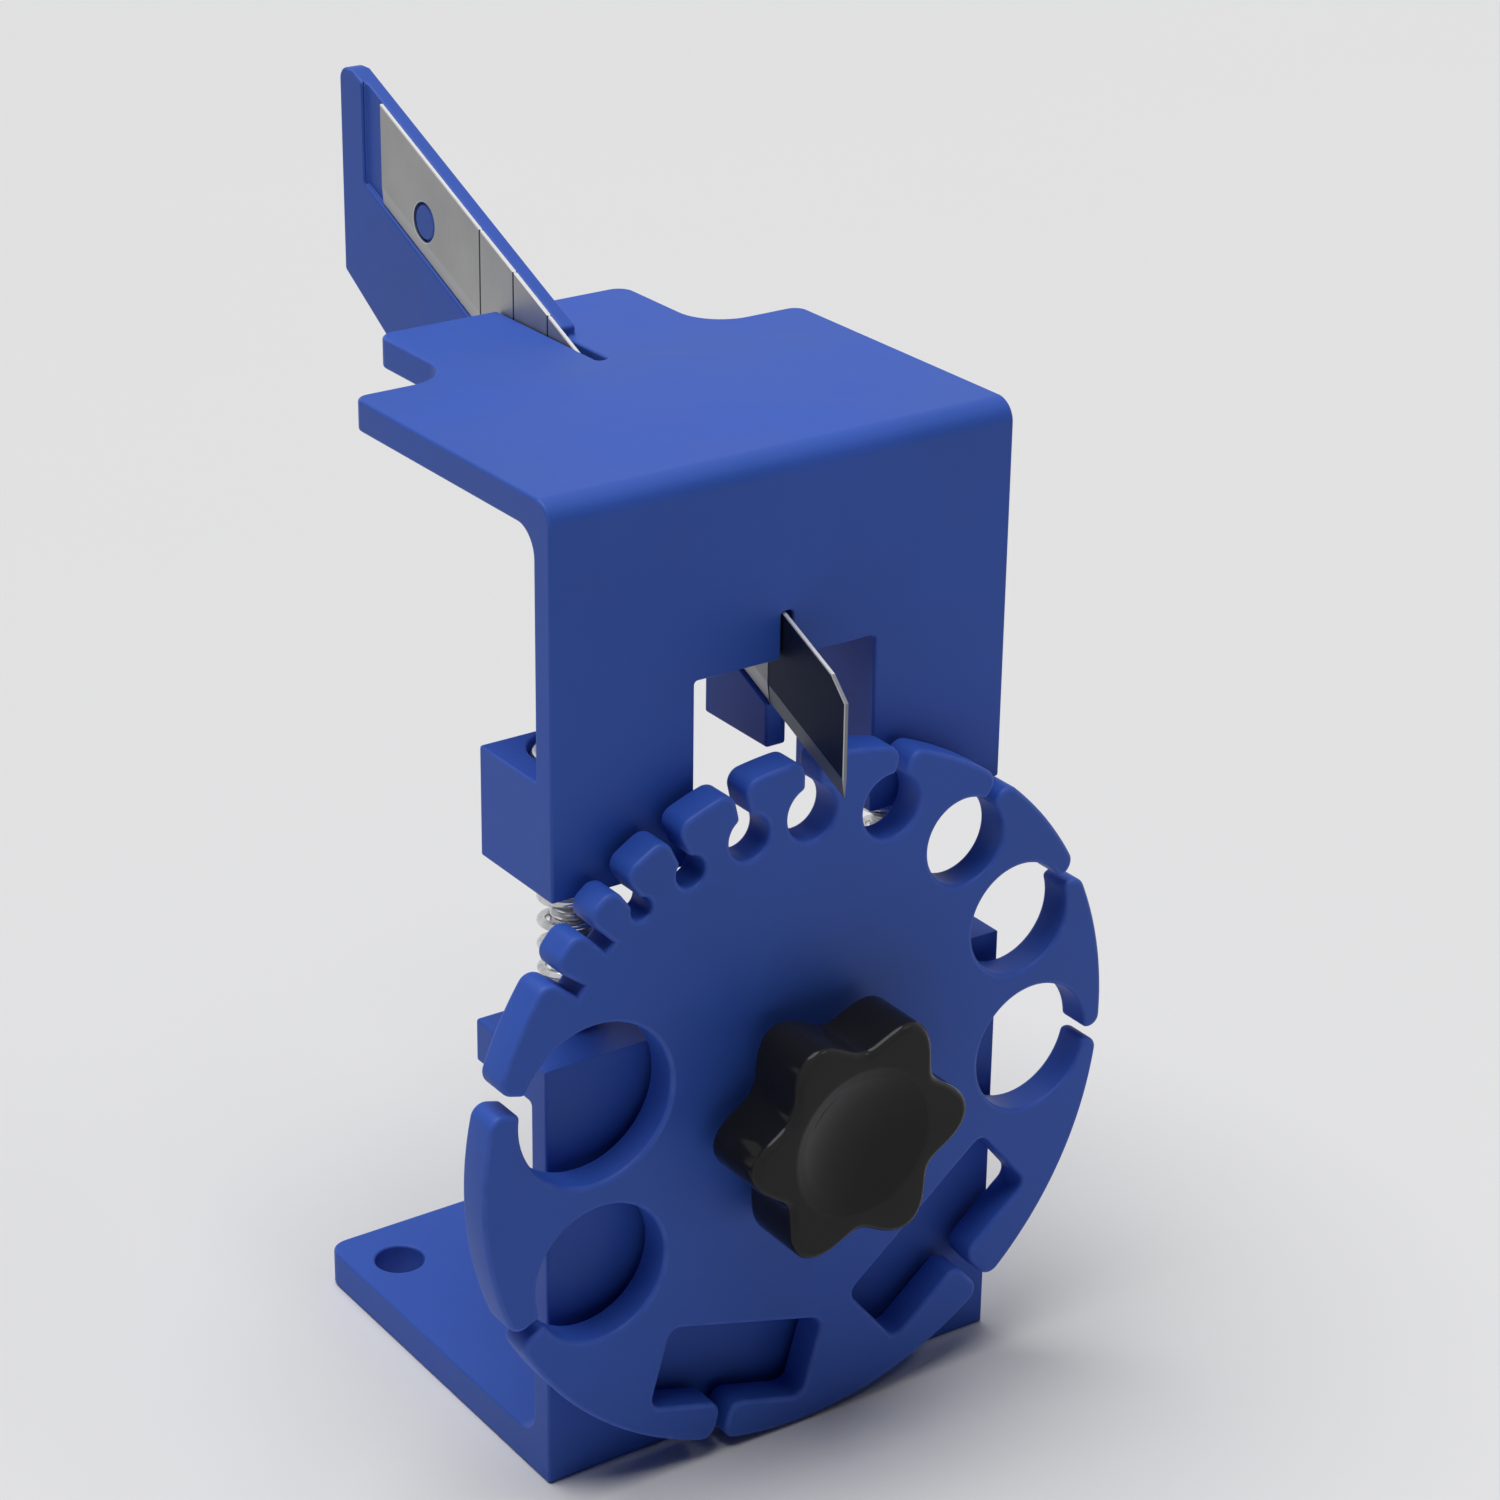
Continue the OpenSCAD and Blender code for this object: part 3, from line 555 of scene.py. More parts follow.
# An opening is drawn with its slot along +Y and then turned to its angle.
disc = {
    "radius": 32.1, "thickness": 3.4, "bore": 2.575, "rounding": 0.44, "flatRim": 0.03,
    "lip": 1.3,           # rounding from the rim into a slot
    "lipGap": 0.09,       # least straight length of a slot between its lip and its throat
    "throat": 0.5,        # rounding from a slot into a hole
    "lipPoints": 12, "throatPoints": 6, "cornerPoints": 8,
    # angle, distance of the hole's centre, hole diameter, slot width
    "holes": [(126.2, 28.376, 2.0, 1.1), (115.7, 27.670, 2.8, 1.1), (103.3, 27.221, 4.0, 1.1),
              (90, 27.092, 4.9, 1.5), (72.4, 26.900, 5.8, 1.1), (51.5, 25.905, 8.0, 1.1),
              (26.6, 25.038, 10.4, 1.1), (-4.6, 24.460, 12.0, 1.1), (-154.6, 22.984, 12.7, 1.1),
              (163.6, 22.085, 14.7, 1.6)],
    # angle, distance of the slit's end, width
    "slits": [(142.8, 28.376, 1.0), (134.3, 28.376, 1.0)],
    # angle, distance of the pocket's centre, length, width, corner radius, slot width
    "pockets": [(-51, 23.497, 18.3, 8.4, 1.1, 1.1), (-105.9, 24.621, 16.6, 7.6, 1.1, 1.1)],
}


# Right half of a slot's mouth: from the rim round the lip to the slot's side. The lip is smaller where it
# would end below the low height. Its radius is then (R^2 - s^2 - low^2) / (2 (R + s)), where R is the
# rim's radius and s half the slot's width.
def rimLip(slotWidth, low=0.0):
    side, rim = slotWidth / 2, disc["radius"]
    lip = min(disc["lip"], (rim * rim - side * side - low * low) / (2 * (rim + side)))
    x = side + lip
    y = math.sqrt((rim - lip) ** 2 - x * x)
    return arc(x, y, lip, math.degrees(math.atan2(y, x)), 180, disc["lipPoints"])


# Right half of a round hole with its slot: lip, slot side, throat and half the hole down to its lowest
# point. The throat's centre lies at half the slot's width plus the throat's radius from the slot's
# middle, and at the hole's radius plus the throat's radius from the hole's centre.
def holeOpening(distance, diameter, slotWidth):
    x = slotWidth / 2 + disc["throat"]
    reach = diameter / 2 + disc["throat"]
    y = distance + math.sqrt(reach * reach - x * x)
    turn = math.degrees(math.atan2(y - distance, x))
    throat = arc(x, y, disc["throat"], 180, 180 + turn, disc["throatPoints"])
    hole = arc(0, distance, diameter / 2, turn, -90, 10 + int(diameter * 4))    # a wider hole has more
    return np.concatenate([rimLip(slotWidth, y + disc["lipGap"]), throat, hole[1:]])


# Right half of a slit: lip, straight side and half the flat end.
def slitOpening(distance, width):
    return np.concatenate([rimLip(width), [(width / 2, distance), (0, distance)]])


# Right half of a pocket: lip, slot side, rounded throat, top edge, two corners and half the bottom edge.
def pocketOpening(distance, length, width, corner, slotWidth):
    top, low, side = distance + width / 2, distance - width / 2, length / 2
    throat = arc(slotWidth / 2 + disc["lip"], top + disc["lip"], disc["lip"], 180, 270, disc["lipPoints"])
    upper = arc(side - corner, top - corner, corner, 90, 0, disc["cornerPoints"])
    lower = arc(side - corner, low + corner, corner, 0, -90, disc["cornerPoints"])
    return np.concatenate([rimLip(slotWidth), throat, upper, lower, [(0, low)]])


def pointAngle(point):
    return math.degrees(math.atan2(point[1], point[0]))


# The whole counterclockwise edge: rim arcs joined by the openings, each its right half and then the
# mirrored left half, turned from +Y to the opening's angle.
def discOutline():
    openings = [(a, holeOpening(*rest)) for a, *rest in disc["holes"]]
    openings += [(a, slitOpening(*rest)) for a, *rest in disc["slits"]]
    openings += [(a, pocketOpening(*rest)) for a, *rest in disc["pockets"]]
    openings.sort(key=lambda o: o[0])
    parts = []
    for angle, half in openings:
        whole = np.concatenate([half, (half * (-1, 1))[::-1][1:]])
        t = math.radians(angle - 90)
        parts.append(whole @ np.array([[math.cos(t), math.sin(t)], [-math.sin(t), math.cos(t)]]))
    outline = []
    for part, following in zip(parts, parts[1:] + parts[:1]):
        start, stop = pointAngle(part[-1]), pointAngle(following[0])
        stop += 360 if stop < start else 0
        outline += [part, arc(0, 0, disc["radius"], start, stop, 3 + int(stop - start))[1:-1]]
    return np.concatenate(outline)


bore = circleHole(0, 0, disc["bore"])
points, faces = slab(discOutline(), [bore], disc["thickness"], disc["rounding"], disc["flatRim"])
points = stand(points, place["discBackY"], place["discZ"])
piece = makeMesh("selectorDisc", points, faces, materials["print"])
finish(piece, "disc", "selector_disc", creaseAngle=50)
print("disc made:", len(piece.data.polygons), "faces")


# Star knob, drawn from its back upwards

# A corner is a list of (step from the wall, step from the end).
knob = {
    "radius": 9.75, "lobe": 1.3, "lobes": 6, "phase": -1,    # the phase is in degrees
    "backY": -23.9, "thickness": 8.0, "edge": 0.75,
    "hubRadius": 6.8, "hubHeight": 1.6,
    "dishRadius": 6.6, "dishDepth": 1.5,
    "seatRadius": 5.2, "seatDepth": 1.05,            # hollow for the washer
    "insertRadius": 3.5, "insertDepth": 5.85,        # bore for the insert
    "seatCorner": [(0.02, 0.15), (0.15, 0.02)],
    "hubCorner": [(0.2, 0.0), (0.04, 0.06), (0.0, 0.2)],
    "hubFillet": 0.15,
    "lobeCorner": [(0.5, 0.0), (0.25, 0.03), (0.06, 0.2), (0.0, 0.5)],
    "frontRim": 0.05,
    "dishCorner": [(0.45, 0.0), (0.2, 0.02), (0.03, 0.09)],
}


# Rings of (share of the waved radius, own radius, height), where the radius is the share of
# radius + lobe cos(lobes (a - phase)), plus the own radius. The dish is a part of a sphere.
def knobSurface(steps=240, edgeRings=7, dishRings=14):
    k = knob
    top, edge, hub, low = k["thickness"], k["edge"], k["hubRadius"], k["hubHeight"]
    rows = [(0, 0, k["insertDepth"]), (0, k["insertRadius"], k["insertDepth"]),
            (0, k["insertRadius"], k["seatDepth"]), (0, k["seatRadius"], k["seatDepth"])]
    rows += [(0, k["seatRadius"] + out, up) for out, up in k["seatCorner"]]
    rows += [(0, hub - step, up) for step, up in k["hubCorner"]]
    rows += [(0, hub, low - k["hubFillet"]), (0, hub + k["hubFillet"], low)]
    rows += [(1, -step, low + up) for step, up in k["lobeCorner"]]
    rows += [(1, 0, (low + top) / 2)]
    turn = np.radians(np.linspace(0, 90, edgeRings))
    rows += [(1, -edge * (1 - math.cos(v)), top - edge * (1 - math.sin(v))) for v in turn]
    rows += [(1, -edge - k["frontRim"], top)]
    rows += [(0, k["dishRadius"] + out, top - down) for out, down in k["dishCorner"]]
    bowl = (k["dishRadius"] ** 2 + k["dishDepth"] ** 2) / (2 * k["dishDepth"])    # the sphere's radius
    dish = np.linspace(k["dishRadius"], 0, dishRings)[1:]
    rows += [(0, r, z) for r, z in zip(dish, top - k["dishDepth"] + bowl - np.sqrt(bowl ** 2 - dish ** 2))]
    rows = np.array(rows)
    a = np.linspace(0, 2 * np.pi, steps, endpoint=False)
    wave = k["radius"] + k["lobe"] * np.cos(k["lobes"] * (a - math.radians(k["phase"])))
    r = rows[:, :1] * wave + rows[:, 1:2]
    points = np.stack([r * np.cos(a), r * np.sin(a), np.broadcast_to(rows[:, 2:], r.shape)], -1)
    return points.reshape(-1, 3), gridFaces(len(rows), steps, closeColumns=True)


points, faces = knobSurface()
piece = makeMesh("starKnob", stand(points, knob["backY"], place["discZ"]), faces, materials["knob"])
finish(piece, "knob", "star_knob", creaseAngle=40)
print("knob made")


# Screws, bolt and nuts, each a stack of rings

threadForm = {
    "lead": 0.5,          # length over which a thread begins and ends
    "rows": 8,            # rings for each pitch
    "steepness": 1.25,    # of the flanks
    "flat": 0.12,         # share of the depth that the flat crest cuts off
}


# Wall of a thread: r = radius - depth w, where w is a triangle wave of height/pitch less angle/turn, made
# steeper and cut flat at the crest. It fades to a plain wall over the lead at both ends.
def threadSurface(radius, pitch, depth, low, high, steps):
    rows = max(int((high - low) / pitch * threadForm["rows"]), 2) + 1
    z = np.linspace(low, high, rows)[:, None]
    a = np.linspace(0, 2 * np.pi, steps, endpoint=False)[None]
    phase = (z / pitch - a / (2 * np.pi)) % 1
    w = np.clip(np.abs(2 * phase - 1) * threadForm["steepness"] - threadForm["flat"], 0, 1)
    fade = np.clip(np.minimum(z - low, high - z) / threadForm["lead"], 0, 1)
    r = radius - depth * (w * fade + (1 - fade) * threadForm["flat"])
    return np.stack([r * np.cos(a), r * np.sin(a), np.broadcast_to(z, r.shape)], -1)


# A ring (r cos a, r sin a, z) for each pair of radius and height. A radius may differ for each angle.
def ringsAt(pairs, steps):
    a = np.linspace(0, 2 * np.pi, steps, endpoint=False)
    r = np.stack([np.broadcast_to(np.asarray(radius, float), a.shape) for radius, _ in pairs])
    z = np.array([height for _, height in pairs], float)[:, None]
    return np.stack([r * np.cos(a), r * np.sin(a), np.broadcast_to(z, r.shape)], -1)


def ringsToMesh(*rings):
    rings = np.concatenate(rings)
    return rings.reshape(-1, 3), gridFaces(len(rings), rings.shape[1], closeColumns=True)


# Wall of a hexagon at each angle: half the width across flats over cos of the angle to the nearest flat,
# held to the corner radius.
def hexagonWall(flats, corner, steps, turn=0.0):
    a = np.linspace(0, 2 * np.pi, steps, endpoint=False) - turn
    off = (a + np.pi / 6) % (np.pi / 3) - np.pi / 6
    return np.minimum(flats / 2 / np.cos(off), corner)


hexagonEnd = {"inset": 0.15, "over": 0.02}    # the circle inside the flats, and the cone's foot over them


# End of a hexagon with its corners turned off: a circle in the end, a cone just over the flats, the wall.
def hexagonEndRings(flats, wall, end, cone, full):
    rim = flats / 2
    return [(rim - hexagonEnd["inset"], end), (np.minimum(wall, rim + hexagonEnd["over"]), end + cone),
            (wall, end + full)]


# A corner is a list of (step from the wall, step from the end).
guide = {
    "radius": 1.95, "pitch": 0.7, "threadDepth": 0.3, "steps": 120,
    "tip": 31.7, "tipCorner": [(0.4, 0.0), (0.05, 0.35)],
    "threadLow": 32.1, "threadTop": 52.0, "runOut": 0.3, "neck": 0.1,
    "headLow": 61.2, "headHigh": 65.2, "headRadius": 3.5,
    "lowCorner": [(0.35, 0.0), (0.08, 0.2)], "highCorner": [(0.1, 0.4), (0.22, 0.14), (0.45, 0.0)],
    "knurls": 40, "knurlDepth": 0.07, "knurlLow": 0.35, "knurlHigh": 0.55,
    "socketFlats": 3.0, "socketCorner": 1.72, "socketDepth": 2.0, "socketChamfer": (0.2, 0.18),
    "socketDip": 0.02,
}


# Rings from the tip up: chamfer, thread, plain shank, knurled head, chamfer, hexagon socket. The knurls
# are r = headRadius - knurlDepth (1 + cos(knurls a)) / 2.
def guideScrew():
    g = guide
    r, low, high, head, steps = g["radius"], g["headLow"], g["headHigh"], g["headRadius"], g["steps"]
    a = np.linspace(0, 2 * np.pi, steps, endpoint=False)
    knurl = head - g["knurlDepth"] * (0.5 + 0.5 * np.cos(g["knurls"] * a))
    socket = hexagonWall(g["socketFlats"], g["socketCorner"], steps)
    wider, deeper = g["socketChamfer"]
    bottom = high - g["socketDepth"]
    tip = [(0, g["tip"])] + [(r - step, g["tip"] + up) for step, up in g["tipCorner"]]
    shank = [(r, g["threadTop"] + g["runOut"]), (r, low - g["neck"]), (r + g["neck"], low)]
    cap = [(head - step, low + up) for step, up in g["lowCorner"]]
    cap += [(knurl, low + g["knurlLow"]), (knurl, high - g["knurlHigh"])]
    cap += [(head - step, high - down) for step, down in g["highCorner"]]
    well = [(socket + wider, high), (socket, high - deeper), (socket, bottom), (0, bottom - g["socketDip"])]
    thread = threadSurface(r, g["pitch"], g["threadDepth"], g["threadLow"], g["threadTop"], steps)
    return ringsToMesh(ringsAt(tip, steps), thread, ringsAt(shank + cap + well, steps))


bolt = {
    "seatY": -16.8, "radius": 2.5, "length": 12.0, "pitch": 0.8, "threadDepth": 0.34, "steps": 96,
    "plain": 2.0,         # unthreaded length under the head
    "threadLow": 2.3, "endChamfer": 0.4, "fillet": 0.05,
    "flats": 8.0, "corner": 4.5, "headHeight": 3.4, "cone": 0.06, "coneFull": 0.36, "flange": 0.02,
}


# Rings from the head's outer face to the shank's end, with the head below zero and the shank above it.
def pivotBolt():
    b = bolt
    r, length, fillet, steps = b["radius"], b["length"], b["fillet"], b["steps"]
    wall = hexagonWall(b["flats"], b["corner"], steps, turn=math.radians(30))
    head = [(0, -b["headHeight"])]
    head += hexagonEndRings(b["flats"], wall, -b["headHeight"], b["cone"], b["coneFull"])
    head += [(wall, -b["flange"]), (wall - fillet, 0), (r + fillet, 0), (r, fillet), (r, b["plain"])]
    thread = threadSurface(r, b["pitch"], b["threadDepth"], b["threadLow"], length - b["endChamfer"], steps)
    end = [(r - b["endChamfer"], length), (0, length)]
    return ringsToMesh(ringsAt(head, steps), thread, ringsAt(end, steps))


nut = {"low": 32.7, "high": 35.9, "flats": 7.0, "corner": 4.0, "bore": 2.025, "chamfer": 0.3, "cone": 0.05,
       "coneFull": 0.3, "steps": 96}


# Rings round the hexagon, over both turned-off faces and through the bore, closed on the first ring.
def guideNut():
    n = nut
    low, high, bore, chamfer, steps = n["low"], n["high"], n["bore"], n["chamfer"], n["steps"]
    wall = hexagonWall(n["flats"], n["corner"], steps, turn=math.radians(30))
    rings = [(bore, low + chamfer), (bore + chamfer, low)]
    rings += hexagonEndRings(n["flats"], wall, low, n["cone"], n["coneFull"])
    rings += hexagonEndRings(n["flats"], wall, high, -n["cone"], -n["coneFull"])[::-1]
    rings += [(bore + chamfer, high), (bore, high - chamfer), (bore, low + chamfer)]
    return ringsToMesh(ringsAt(rings, steps))


spring = {
    "outside": 6.1, "wire": 0.8, "turns": 7.25, "low": 40.45, "high": 55.40,
    "endPitch": 1.23,     # rise of the first turn and of the last one
    "seat": 40.4,         # height of the face that the spring stands on
    "keep": 0.7475,       # share of its height that is left when the head is pressed down
}


# A round wire carried along a helix: z rises by the end pitch over the first and last turn and evenly
# between them. Both cut ends are filled.
def guideSpring(sides=14, perTurn=40):
    s = spring
    half = s["wire"] / 2
    mid = (s["outside"] - s["wire"]) / 2
    bottom, top = s["low"] + half, s["high"] - half
    pitch = (top - bottom - 2 * s["endPitch"]) / (s["turns"] - 2)
    t = np.linspace(0, s["turns"], int(s["turns"] * perTurn) + 1)
    z = bottom + s["endPitch"] * np.minimum(t, 1)
    z = z + pitch * np.clip(np.minimum(t, s["turns"] - 1) - 1, 0, None)
    z = z + s["endPitch"] * np.clip(t - s["turns"] + 1, 0, None)
    a = 2 * np.pi * t[:, None]
    b = np.linspace(0, 2 * np.pi, sides, endpoint=False)[None]
    r = mid + half * np.cos(b)
    tube = np.stack([r * np.cos(a), r * np.sin(a), z[:, None] + half * np.sin(b)], -1)
    faces = gridFaces(len(t), sides, closeColumns=True).tolist()
    count = len(t) * sides
    faces += [list(range(sides)), list(range(count - sides, count))]
    return tube.reshape(-1, 3), faces


guideWasher = {"bore": 2.05, "radius": 4.0, "low": 35.9, "high": 36.4, "chamfer": 0.06}


def guideWasherRing():
    w = guideWasher
    return lathe(ringProfile(w["bore"], w["radius"], w["low"], w["high"], w["chamfer"]))


# name, node, surface, material, slot, crease angle
guideSet = [
    ("guideScrew_", "guide_screw_", guideScrew, "screw", "screw_steel", 32),
    ("guideNut_", "guide_nut_", guideNut, "screw", "screw_steel", 15),
    ("guideWasher_", "guide_washer_", guideWasherRing, "washer", "washer_steel", 32),
    ("guideSpring_", "guide_spring_", guideSpring, "spring", "spring_steel", 60),
]
for side, x in (("left", -place["guideX"]), ("right", place["guideX"])):
    for name, source, surface, look, slotName, creaseAngle in guideSet:
        points, faces = surface()
        moved = points + np.array([x, place["guideY"], 0])
        piece = makeMesh(name + side, moved, faces, materials[look])
        finish(piece, "bracket", source + side, creaseAngle)
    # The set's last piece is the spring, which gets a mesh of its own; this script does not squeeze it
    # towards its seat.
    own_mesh(piece)
print("guide screws, nuts, washers and springs made")

points, faces = pivotBolt()
piece = makeMesh("pivotBolt", stand(points, bolt["seatY"], place["discZ"]), faces, materials["screw"])
finish(piece, "bracket", "pivot_bolt", creaseAngle=15)

# outer radius, bore radius, thickness, back face, chamfer, material, slot, body
pivotRings = {
    "disc_washer": (6.0, 2.6, 0.7, -19.6, 0.08, "washer", "washer_steel", "bracket"),
    "knob_washer": (5.0, 2.575, 1.0, -23.85, 0.1, "washer", "washer_steel", "clamp_washer"),
    "knob_insert": (3.5, 2.575, 4.8, -24.85, 0.2, "brass", "brass", "knob"),
}
for source, (outer, inner, thick, backY, chamfer, look, slotName, body) in pivotRings.items():
    points, faces = lathe(ringProfile(inner, outer, 0, thick, chamfer))
    piece = makeMesh(source + "Turned", stand(points, backY, place["discZ"]), faces, materials[look])
    finish(piece, body, source)
print("bolt, washers and insert made")


# Snap-off blade, drawn in the plane of depth behind the front and height over the head's lower edge

blade = {
    "length": 80.0, "width": 8.6, "thickness": 0.4, "slope": 23.5,
    "edgeHeight": 10.9,   # height of the cutting edge's line at the front face
    "tip": 8.6,           # how far the blade stands out in front
    "clip": 1.9,          # corner taken off the back at the tip
    "bevel": 1.5, "land": 0.04,    # width of the ground bevel, and the thickness left at the cutting edge
    "holeInset": 6.4, "holeUp": 3.1, "hole": 3.8,
    "firstScore": 2.0, "lastScore": 50.0, "scorePitch": 5.66, "scoreWidth": 0.24, "scoreDepth": 0.08,
    "rimWidth": 0.09, "rimDrop": 0.05,    # chamfer along the whole outline
    # How far a face may lean from the blade's plane, as the X part of its normal
    "rimLean": 0.97, "bevelLean": 0.9995, "scoreLean": (0.5, 0.999), "frontLean": -0.5,
}
bladeRise = math.tan(math.radians(blade["slope"]))
bladeCosine = math.cos(math.radians(blade["slope"]))
scoreLines = np.arange(blade["firstScore"], blade["lastScore"], blade["scorePitch"])


# Height of the cutting edge and of the back at a depth: both lines rise by the slope.
def edgeLine(y):
    return blade["edgeHeight"] + y * bladeRise


def backLine(y):
    return edgeLine(y) + blade["width"] / bladeCosine


# Share of a score line's depth at each depth: 1 on the line, falling to 0 at half its width.
def scoreShare(y):
    off = np.abs(y[:, None] - scoreLines[None]).min(1)
    return np.clip(1 - off / (blade["scoreWidth"] / 2), 0, 1)


# Half the blade's thickness: full above the bevel line, falling evenly to the land at the cutting edge,
# less a V at each score line.
def halfThickness(p):
    b = blade
    up = (p[:, 1] - edgeLine(p[:, 0])) * bladeCosine
    ground = b["land"] / 2 + (b["thickness"] - b["land"]) / 2 * np.clip(up / b["bevel"], 0, 1)
    return np.maximum(ground - b["scoreDepth"] * scoreShare(p[:, 0]), b["land"] / 2)


# Outline and hole of the blade, and the lines that its triangles keep: bevel, score lines and chamfers.
def bladeFigure():
    b = blade
    front, tail = -b["tip"], b["length"] * bladeCosine - b["tip"]
    clipY = b["clip"] - b["tip"]
    half, bevelUp = b["scoreWidth"] / 2, b["bevel"] / bladeCosine
    marks = np.stack([scoreLines - half, scoreLines, scoreLines + half], -1).ravel()
    low = np.array([front, *marks, tail])
    high = np.array([tail, *marks[::-1], clipY])
    outline = np.concatenate([
        np.stack([low, edgeLine(low)], -1), [(tail, edgeLine(tail) + bevelUp)],
        np.stack([high, backLine(high)], -1), [(front, backLine(clipY) - b["clip"])],
        [(front, edgeLine(front) + bevelUp)]])
    holeY = tail - b["holeInset"] - b["holeUp"] * math.sin(math.radians(b["slope"]))
    holeZ = edgeLine(tail - b["holeInset"]) + b["holeUp"] * bladeCosine
    hole = circleHole(holeY, holeZ, b["hole"] / 2)
    ends = np.array([front, tail])
    lines = [np.stack([ends, edgeLine(ends) + bevelUp], -1)]
    lines += [np.array([(y, edgeLine(y)), (y, edgeLine(y) + bevelUp), (y, backLine(y))]) for y in marks]
    for loop in (outline, hole):
        ring = loop + b["rimWidth"] * inward(loop)
        lines.append(np.concatenate([ring, ring[:1]]))
    return outline, hole, lines


# The filled figure stands half its thickness to both sides of the middle plane, a little less on its rim,
# and quads join the two rims.
def bladePlate():
    outline, hole, lines = bladeFigure()
    flat, triangles = fillLoops([outline, hole], lines)
    t, n = halfThickness(flat), len(flat)
    edges = np.concatenate([triangles[:, [0, 1]], triangles[:, [1, 2]], triangles[:, [2, 0]]])
    key = np.sort(edges, axis=1) @ np.array([n, 1])
    _, first, uses = np.unique(key, return_index=True, return_counts=True)
    rim = edges[first[uses == 1]]
    t[rim.ravel()] = np.maximum(t[rim.ravel()] - blade["rimDrop"], blade["land"] / 2)
    middle = -blade["thickness"] / 2
    world = np.stack([flat[:, 0] + place["frontY"], flat[:, 1] + place["headZ"]], -1)
    points = np.concatenate([np.column_stack([middle + t, world]), np.column_stack([middle - t, world])])
    faces = triangles.tolist() + (triangles[:, ::-1] + n).tolist()
    faces += np.stack([rim[:, 1], rim[:, 0], rim[:, 0] + n, rim[:, 1] + n], -1).tolist()
    return points, faces


# Face attributes of the blade, told from how far a face leans and from its place along Y: "ground" is 1 on
# the rim and chamfer and a share of it on the front faces, a painted highlight there, and a share of it on
# the ground bevel, whose steel is brighter, and "score" is 1 in the score lines, for their painted shade.
def markBlade(mesh):
    normal = readArray(mesh.polygons, "normal", width=3)
    depth = readArray(mesh.polygons, "center", width=3)[:, 1] / mm - place["frontY"]
    lean = np.abs(normal[:, 0])
    least, most = blade["scoreLean"]
    # The faces of the score grooves, which get painted shade.
    shadedScore = (scoreShare(depth) > 0) & (lean > least) & (lean < most)
    ground = np.where(lean < blade["bevelLean"], bladeLook["bevelShare"], 0.0)
    ground[lean < blade["rimLean"]] = 1
    # Faces turned to the front get a painted highlight.
    ground[normal[:, 1] < blade["frontLean"]] = bladeLook["frontHighlightShare"]
    ground[shadedScore] = 0
    for name, value in (("ground", ground), ("score", shadedScore)):
        mesh.attributes.new(name, "FLOAT", "FACE").data.foreach_set("value", value.astype(np.float32))


points, faces = bladePlate()
piece = makeMesh("snapBlade", points, faces, materials["blade"], smooth=False)
markBlade(piece.data)
finish(piece, "head", "blade", creaseAngle=5, broad=0)
print("blade made")


# Floor, world, lamps and camera

stage = {
    "floor": (0.78, 0.78, 0.785), "floorShade": 0.985, "floorSize": 30.0, "floorDrop": 0.02,
    "floorRoughness": 0.75, "floorSpecular": 0.25, "floorCloud": 9.0,
    "seen": (0.74, 0.74, 0.755),    # the world as the camera and reflections see it
    "ambientColour": (0.95, 0.96, 1.0), "ambient": 0.03,
}


# A level sheet just under z = 0, clear from below, so that a view from there shows the object's underside.
def buildFloor():
    half, z = stage["floorSize"] / 2, -stage["floorDrop"] * mm
    mesh = bpy.data.meshes.new("floor")
    corners = [(-half, -half, z), (half, -half, z), (half, half, z), (-half, half, z)]
    mesh.from_pydata(corners, [], [(0, 1, 2, 3)])
    floor = bpy.data.objects.new("floor", mesh)
    bpy.context.scene.collection.objects.link(floor)
    material, tree, vector = newMaterial("paleFloor")
    mottle = placeGroup(tree, mottleGroup, {"Vector": vector, "Cloud Scale": stage["floorCloud"]})
    shade = tuple(c * stage["floorShade"] for c in stage["floor"])
    behind = node(tree, "ShaderNodeNewGeometry").outputs["Backfacing"]
    addShader(tree, {
        "Base Color": mixColours(tree, mottle["Cloud"], shade, stage["floor"]),
        "Roughness": stage["floorRoughness"],
        "Specular IOR Level": stage["floorSpecular"],
        "Alpha": mapRange(tree, behind, (0.0, 1.0), (1.0, 0.0)),
    })
    mesh.materials.append(material)


# Pale where the camera, a reflection or a clear surface sees it, and a soft weak light for the rest.
def buildWorld():
    world = bpy.data.worlds.new("studio")
    world.use_nodes = True
    bpy.context.scene.world = world
    tree = world.node_tree
    tree.nodes.clear()
    path = node(tree, "ShaderNodeLightPath").outputs
    seen = node(tree, "ShaderNodeBackground", {"Color": (*stage["seen"], 1), "Strength": 1.0})
    light = node(tree, "ShaderNodeBackground", {
        "Color": (*stage["ambientColour"], 1), "Strength": stage["ambient"]})
    through = node(tree, "ShaderNodeMath", {
        0: path["Is Camera Ray"], 1: path["Is Transmission Ray"]}, operation="MAXIMUM")
    share = node(tree, "ShaderNodeMath", {
        0: through.outputs[0], 1: path["Is Glossy Ray"]}, operation="MAXIMUM")
    blend = node(tree, "ShaderNodeMixShader", {
        0: share.outputs[0], 1: light.outputs[0], 2: seen.outputs[0]})
    node(tree, "ShaderNodeOutputWorld", {"Surface": blend.outputs[0]})


topLight = {"direction": (-0.12, 0.10, 1.0), "angle": 50, "strength": 2.88}    # angle across, in degrees
edgeLight = {"position": (0.42, -0.34, 0.72), "target": (0, 0, 0.04), "size": (0.3, 0.06), "power": 0.35}


def addLamp(name, kind, power):
    lamp = bpy.data.lights.new(name, kind)
    lamp.energy = power
    holder = bpy.data.objects.new(name, lamp)
    bpy.context.scene.collection.objects.link(holder)
    return lamp, holder


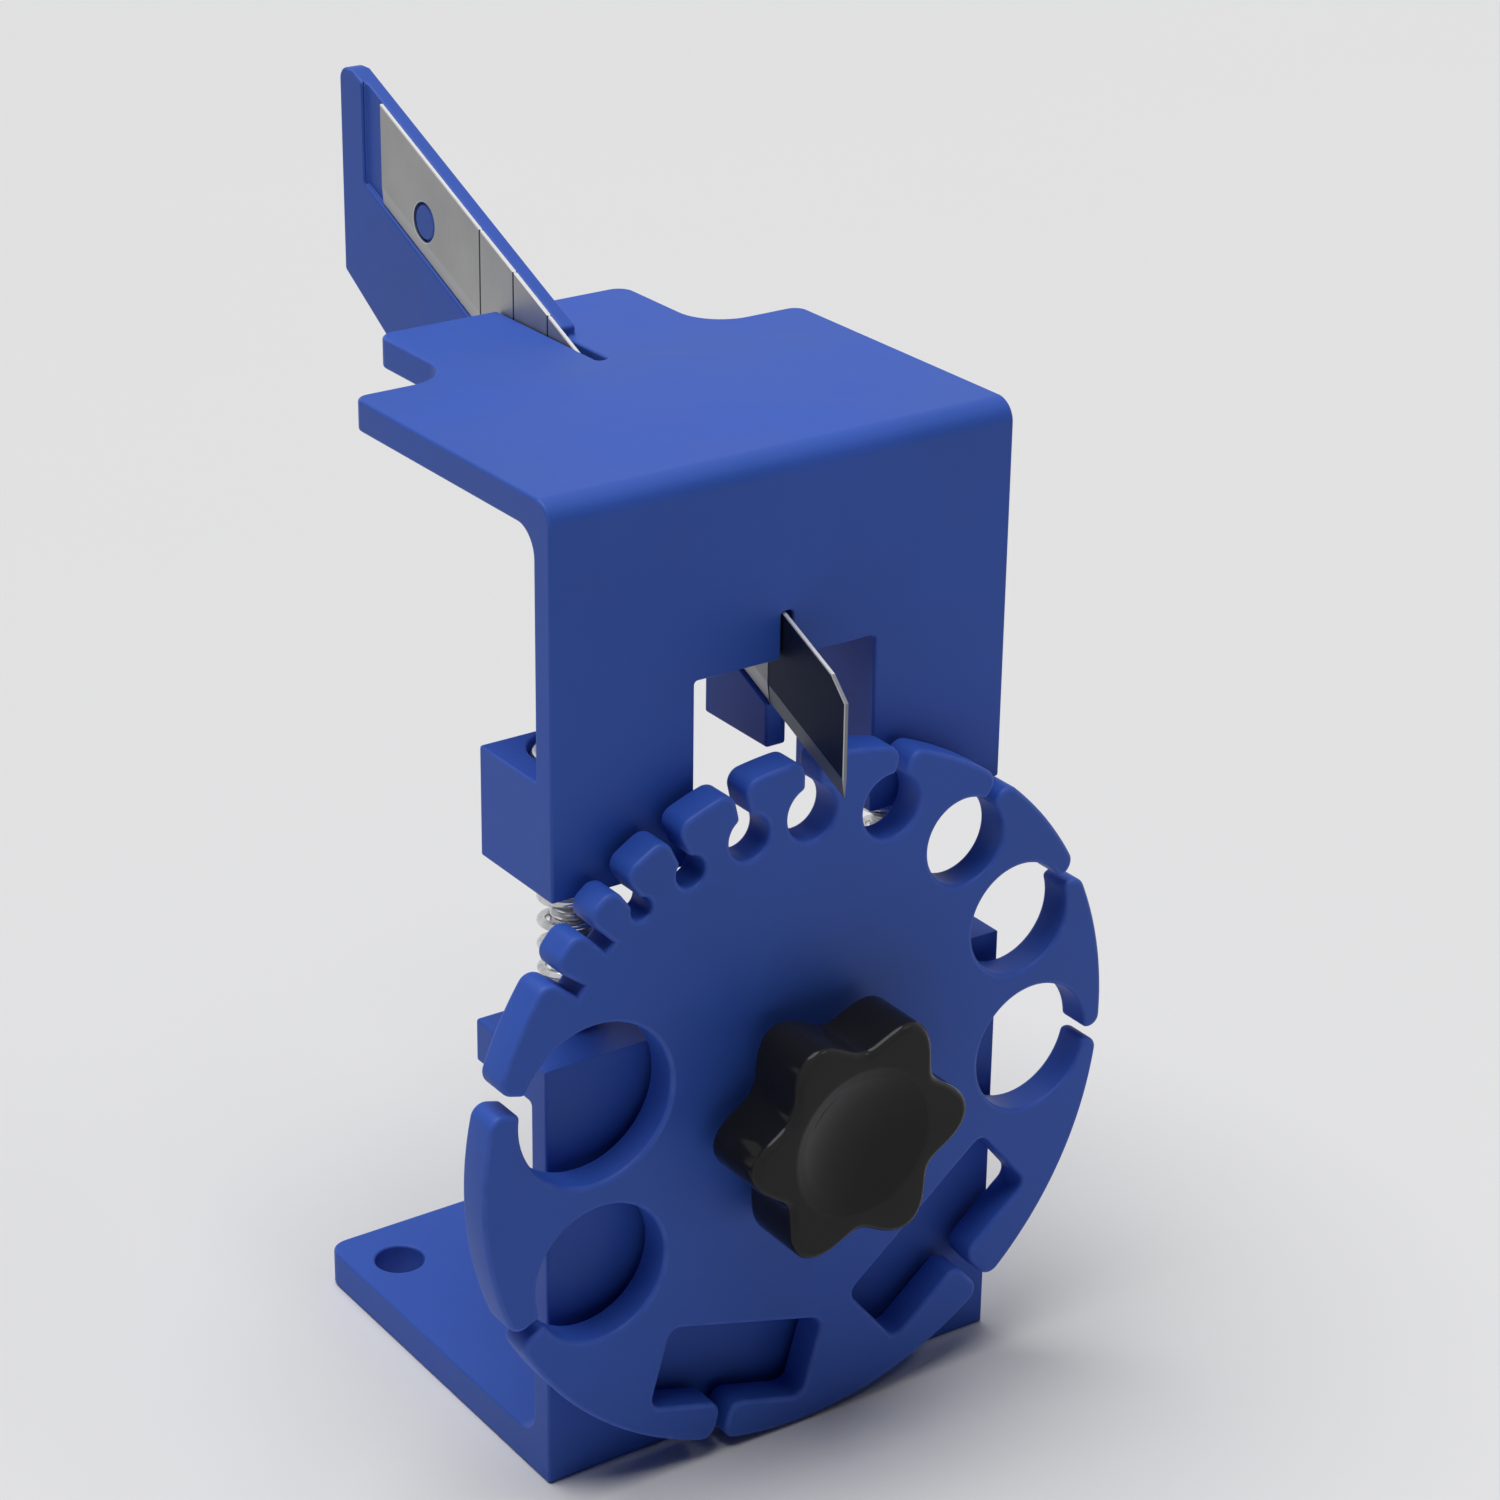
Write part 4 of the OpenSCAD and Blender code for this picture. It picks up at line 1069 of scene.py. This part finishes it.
# A broad round light so far above that it lights the floor evenly at every distance.
def buildTopLight():
    lamp, holder = addLamp("topLight", "SUN", topLight["strength"])
    lamp.angle = math.radians(topLight["angle"])
    holder.rotation_euler = Vector(topLight["direction"]).to_track_quat("Z", "Y").to_euler()


# A long softbox high at the right, for the highlights along the upper edges. Its places are in metres.
def buildEdgeLight():
    lamp, holder = addLamp("edgeLight", "AREA", edgeLight["power"])
    lamp.shape = "RECTANGLE"
    lamp.size, lamp.size_y = edgeLight["size"]
    holder.location = edgeLight["position"]
    way = Vector(edgeLight["target"]) - Vector(edgeLight["position"])
    holder.rotation_euler = way.to_track_quat("-Z", "Y").to_euler()


photoCamera = {
    "lens": 90.43, "sensor": 36, "clip": (0.01, 20), "yaw": 32.67, "pitch": 23.23, "roll": -0.14,
    "position": (-165.6, -249.6, 191.8), "shift": (0.1, -0.05),
}


# The camera looks along its yaw to the right of +Y and its pitch below the horizon, and leans by its roll.
def buildCamera():
    c = photoCamera
    yaw, pitch, roll = (math.radians(c[k]) for k in ("yaw", "pitch", "roll"))
    level = math.cos(pitch)
    forward = Vector((math.sin(yaw) * level, math.cos(yaw) * level, -math.sin(pitch)))
    right = Vector((math.cos(yaw), -math.sin(yaw), 0))
    up = right.cross(forward)
    leanRight = math.cos(roll) * right + math.sin(roll) * up
    leanUp = math.cos(roll) * up - math.sin(roll) * right
    lens = bpy.data.cameras.new("photoCamera")
    lens.sensor_width = c["sensor"]
    lens.lens = c["lens"]
    lens.shift_x, lens.shift_y = c["shift"]
    lens.clip_start, lens.clip_end = c["clip"]
    holder = bpy.data.objects.new("photoCamera", lens)
    bpy.context.scene.collection.objects.link(holder)
    turn = Matrix((leanRight, leanUp, -forward)).transposed().to_4x4()
    holder.matrix_world = Matrix.Translation(Vector(c["position"]) * mm) @ turn
    bpy.context.scene.camera = holder


buildFloor()
buildWorld()
buildTopLight()
buildEdgeLight()
buildCamera()
bpy.context.scene.view_settings.view_transform = "Standard"
print("stage, lamps and camera set")

bpy.context.view_layer.update()
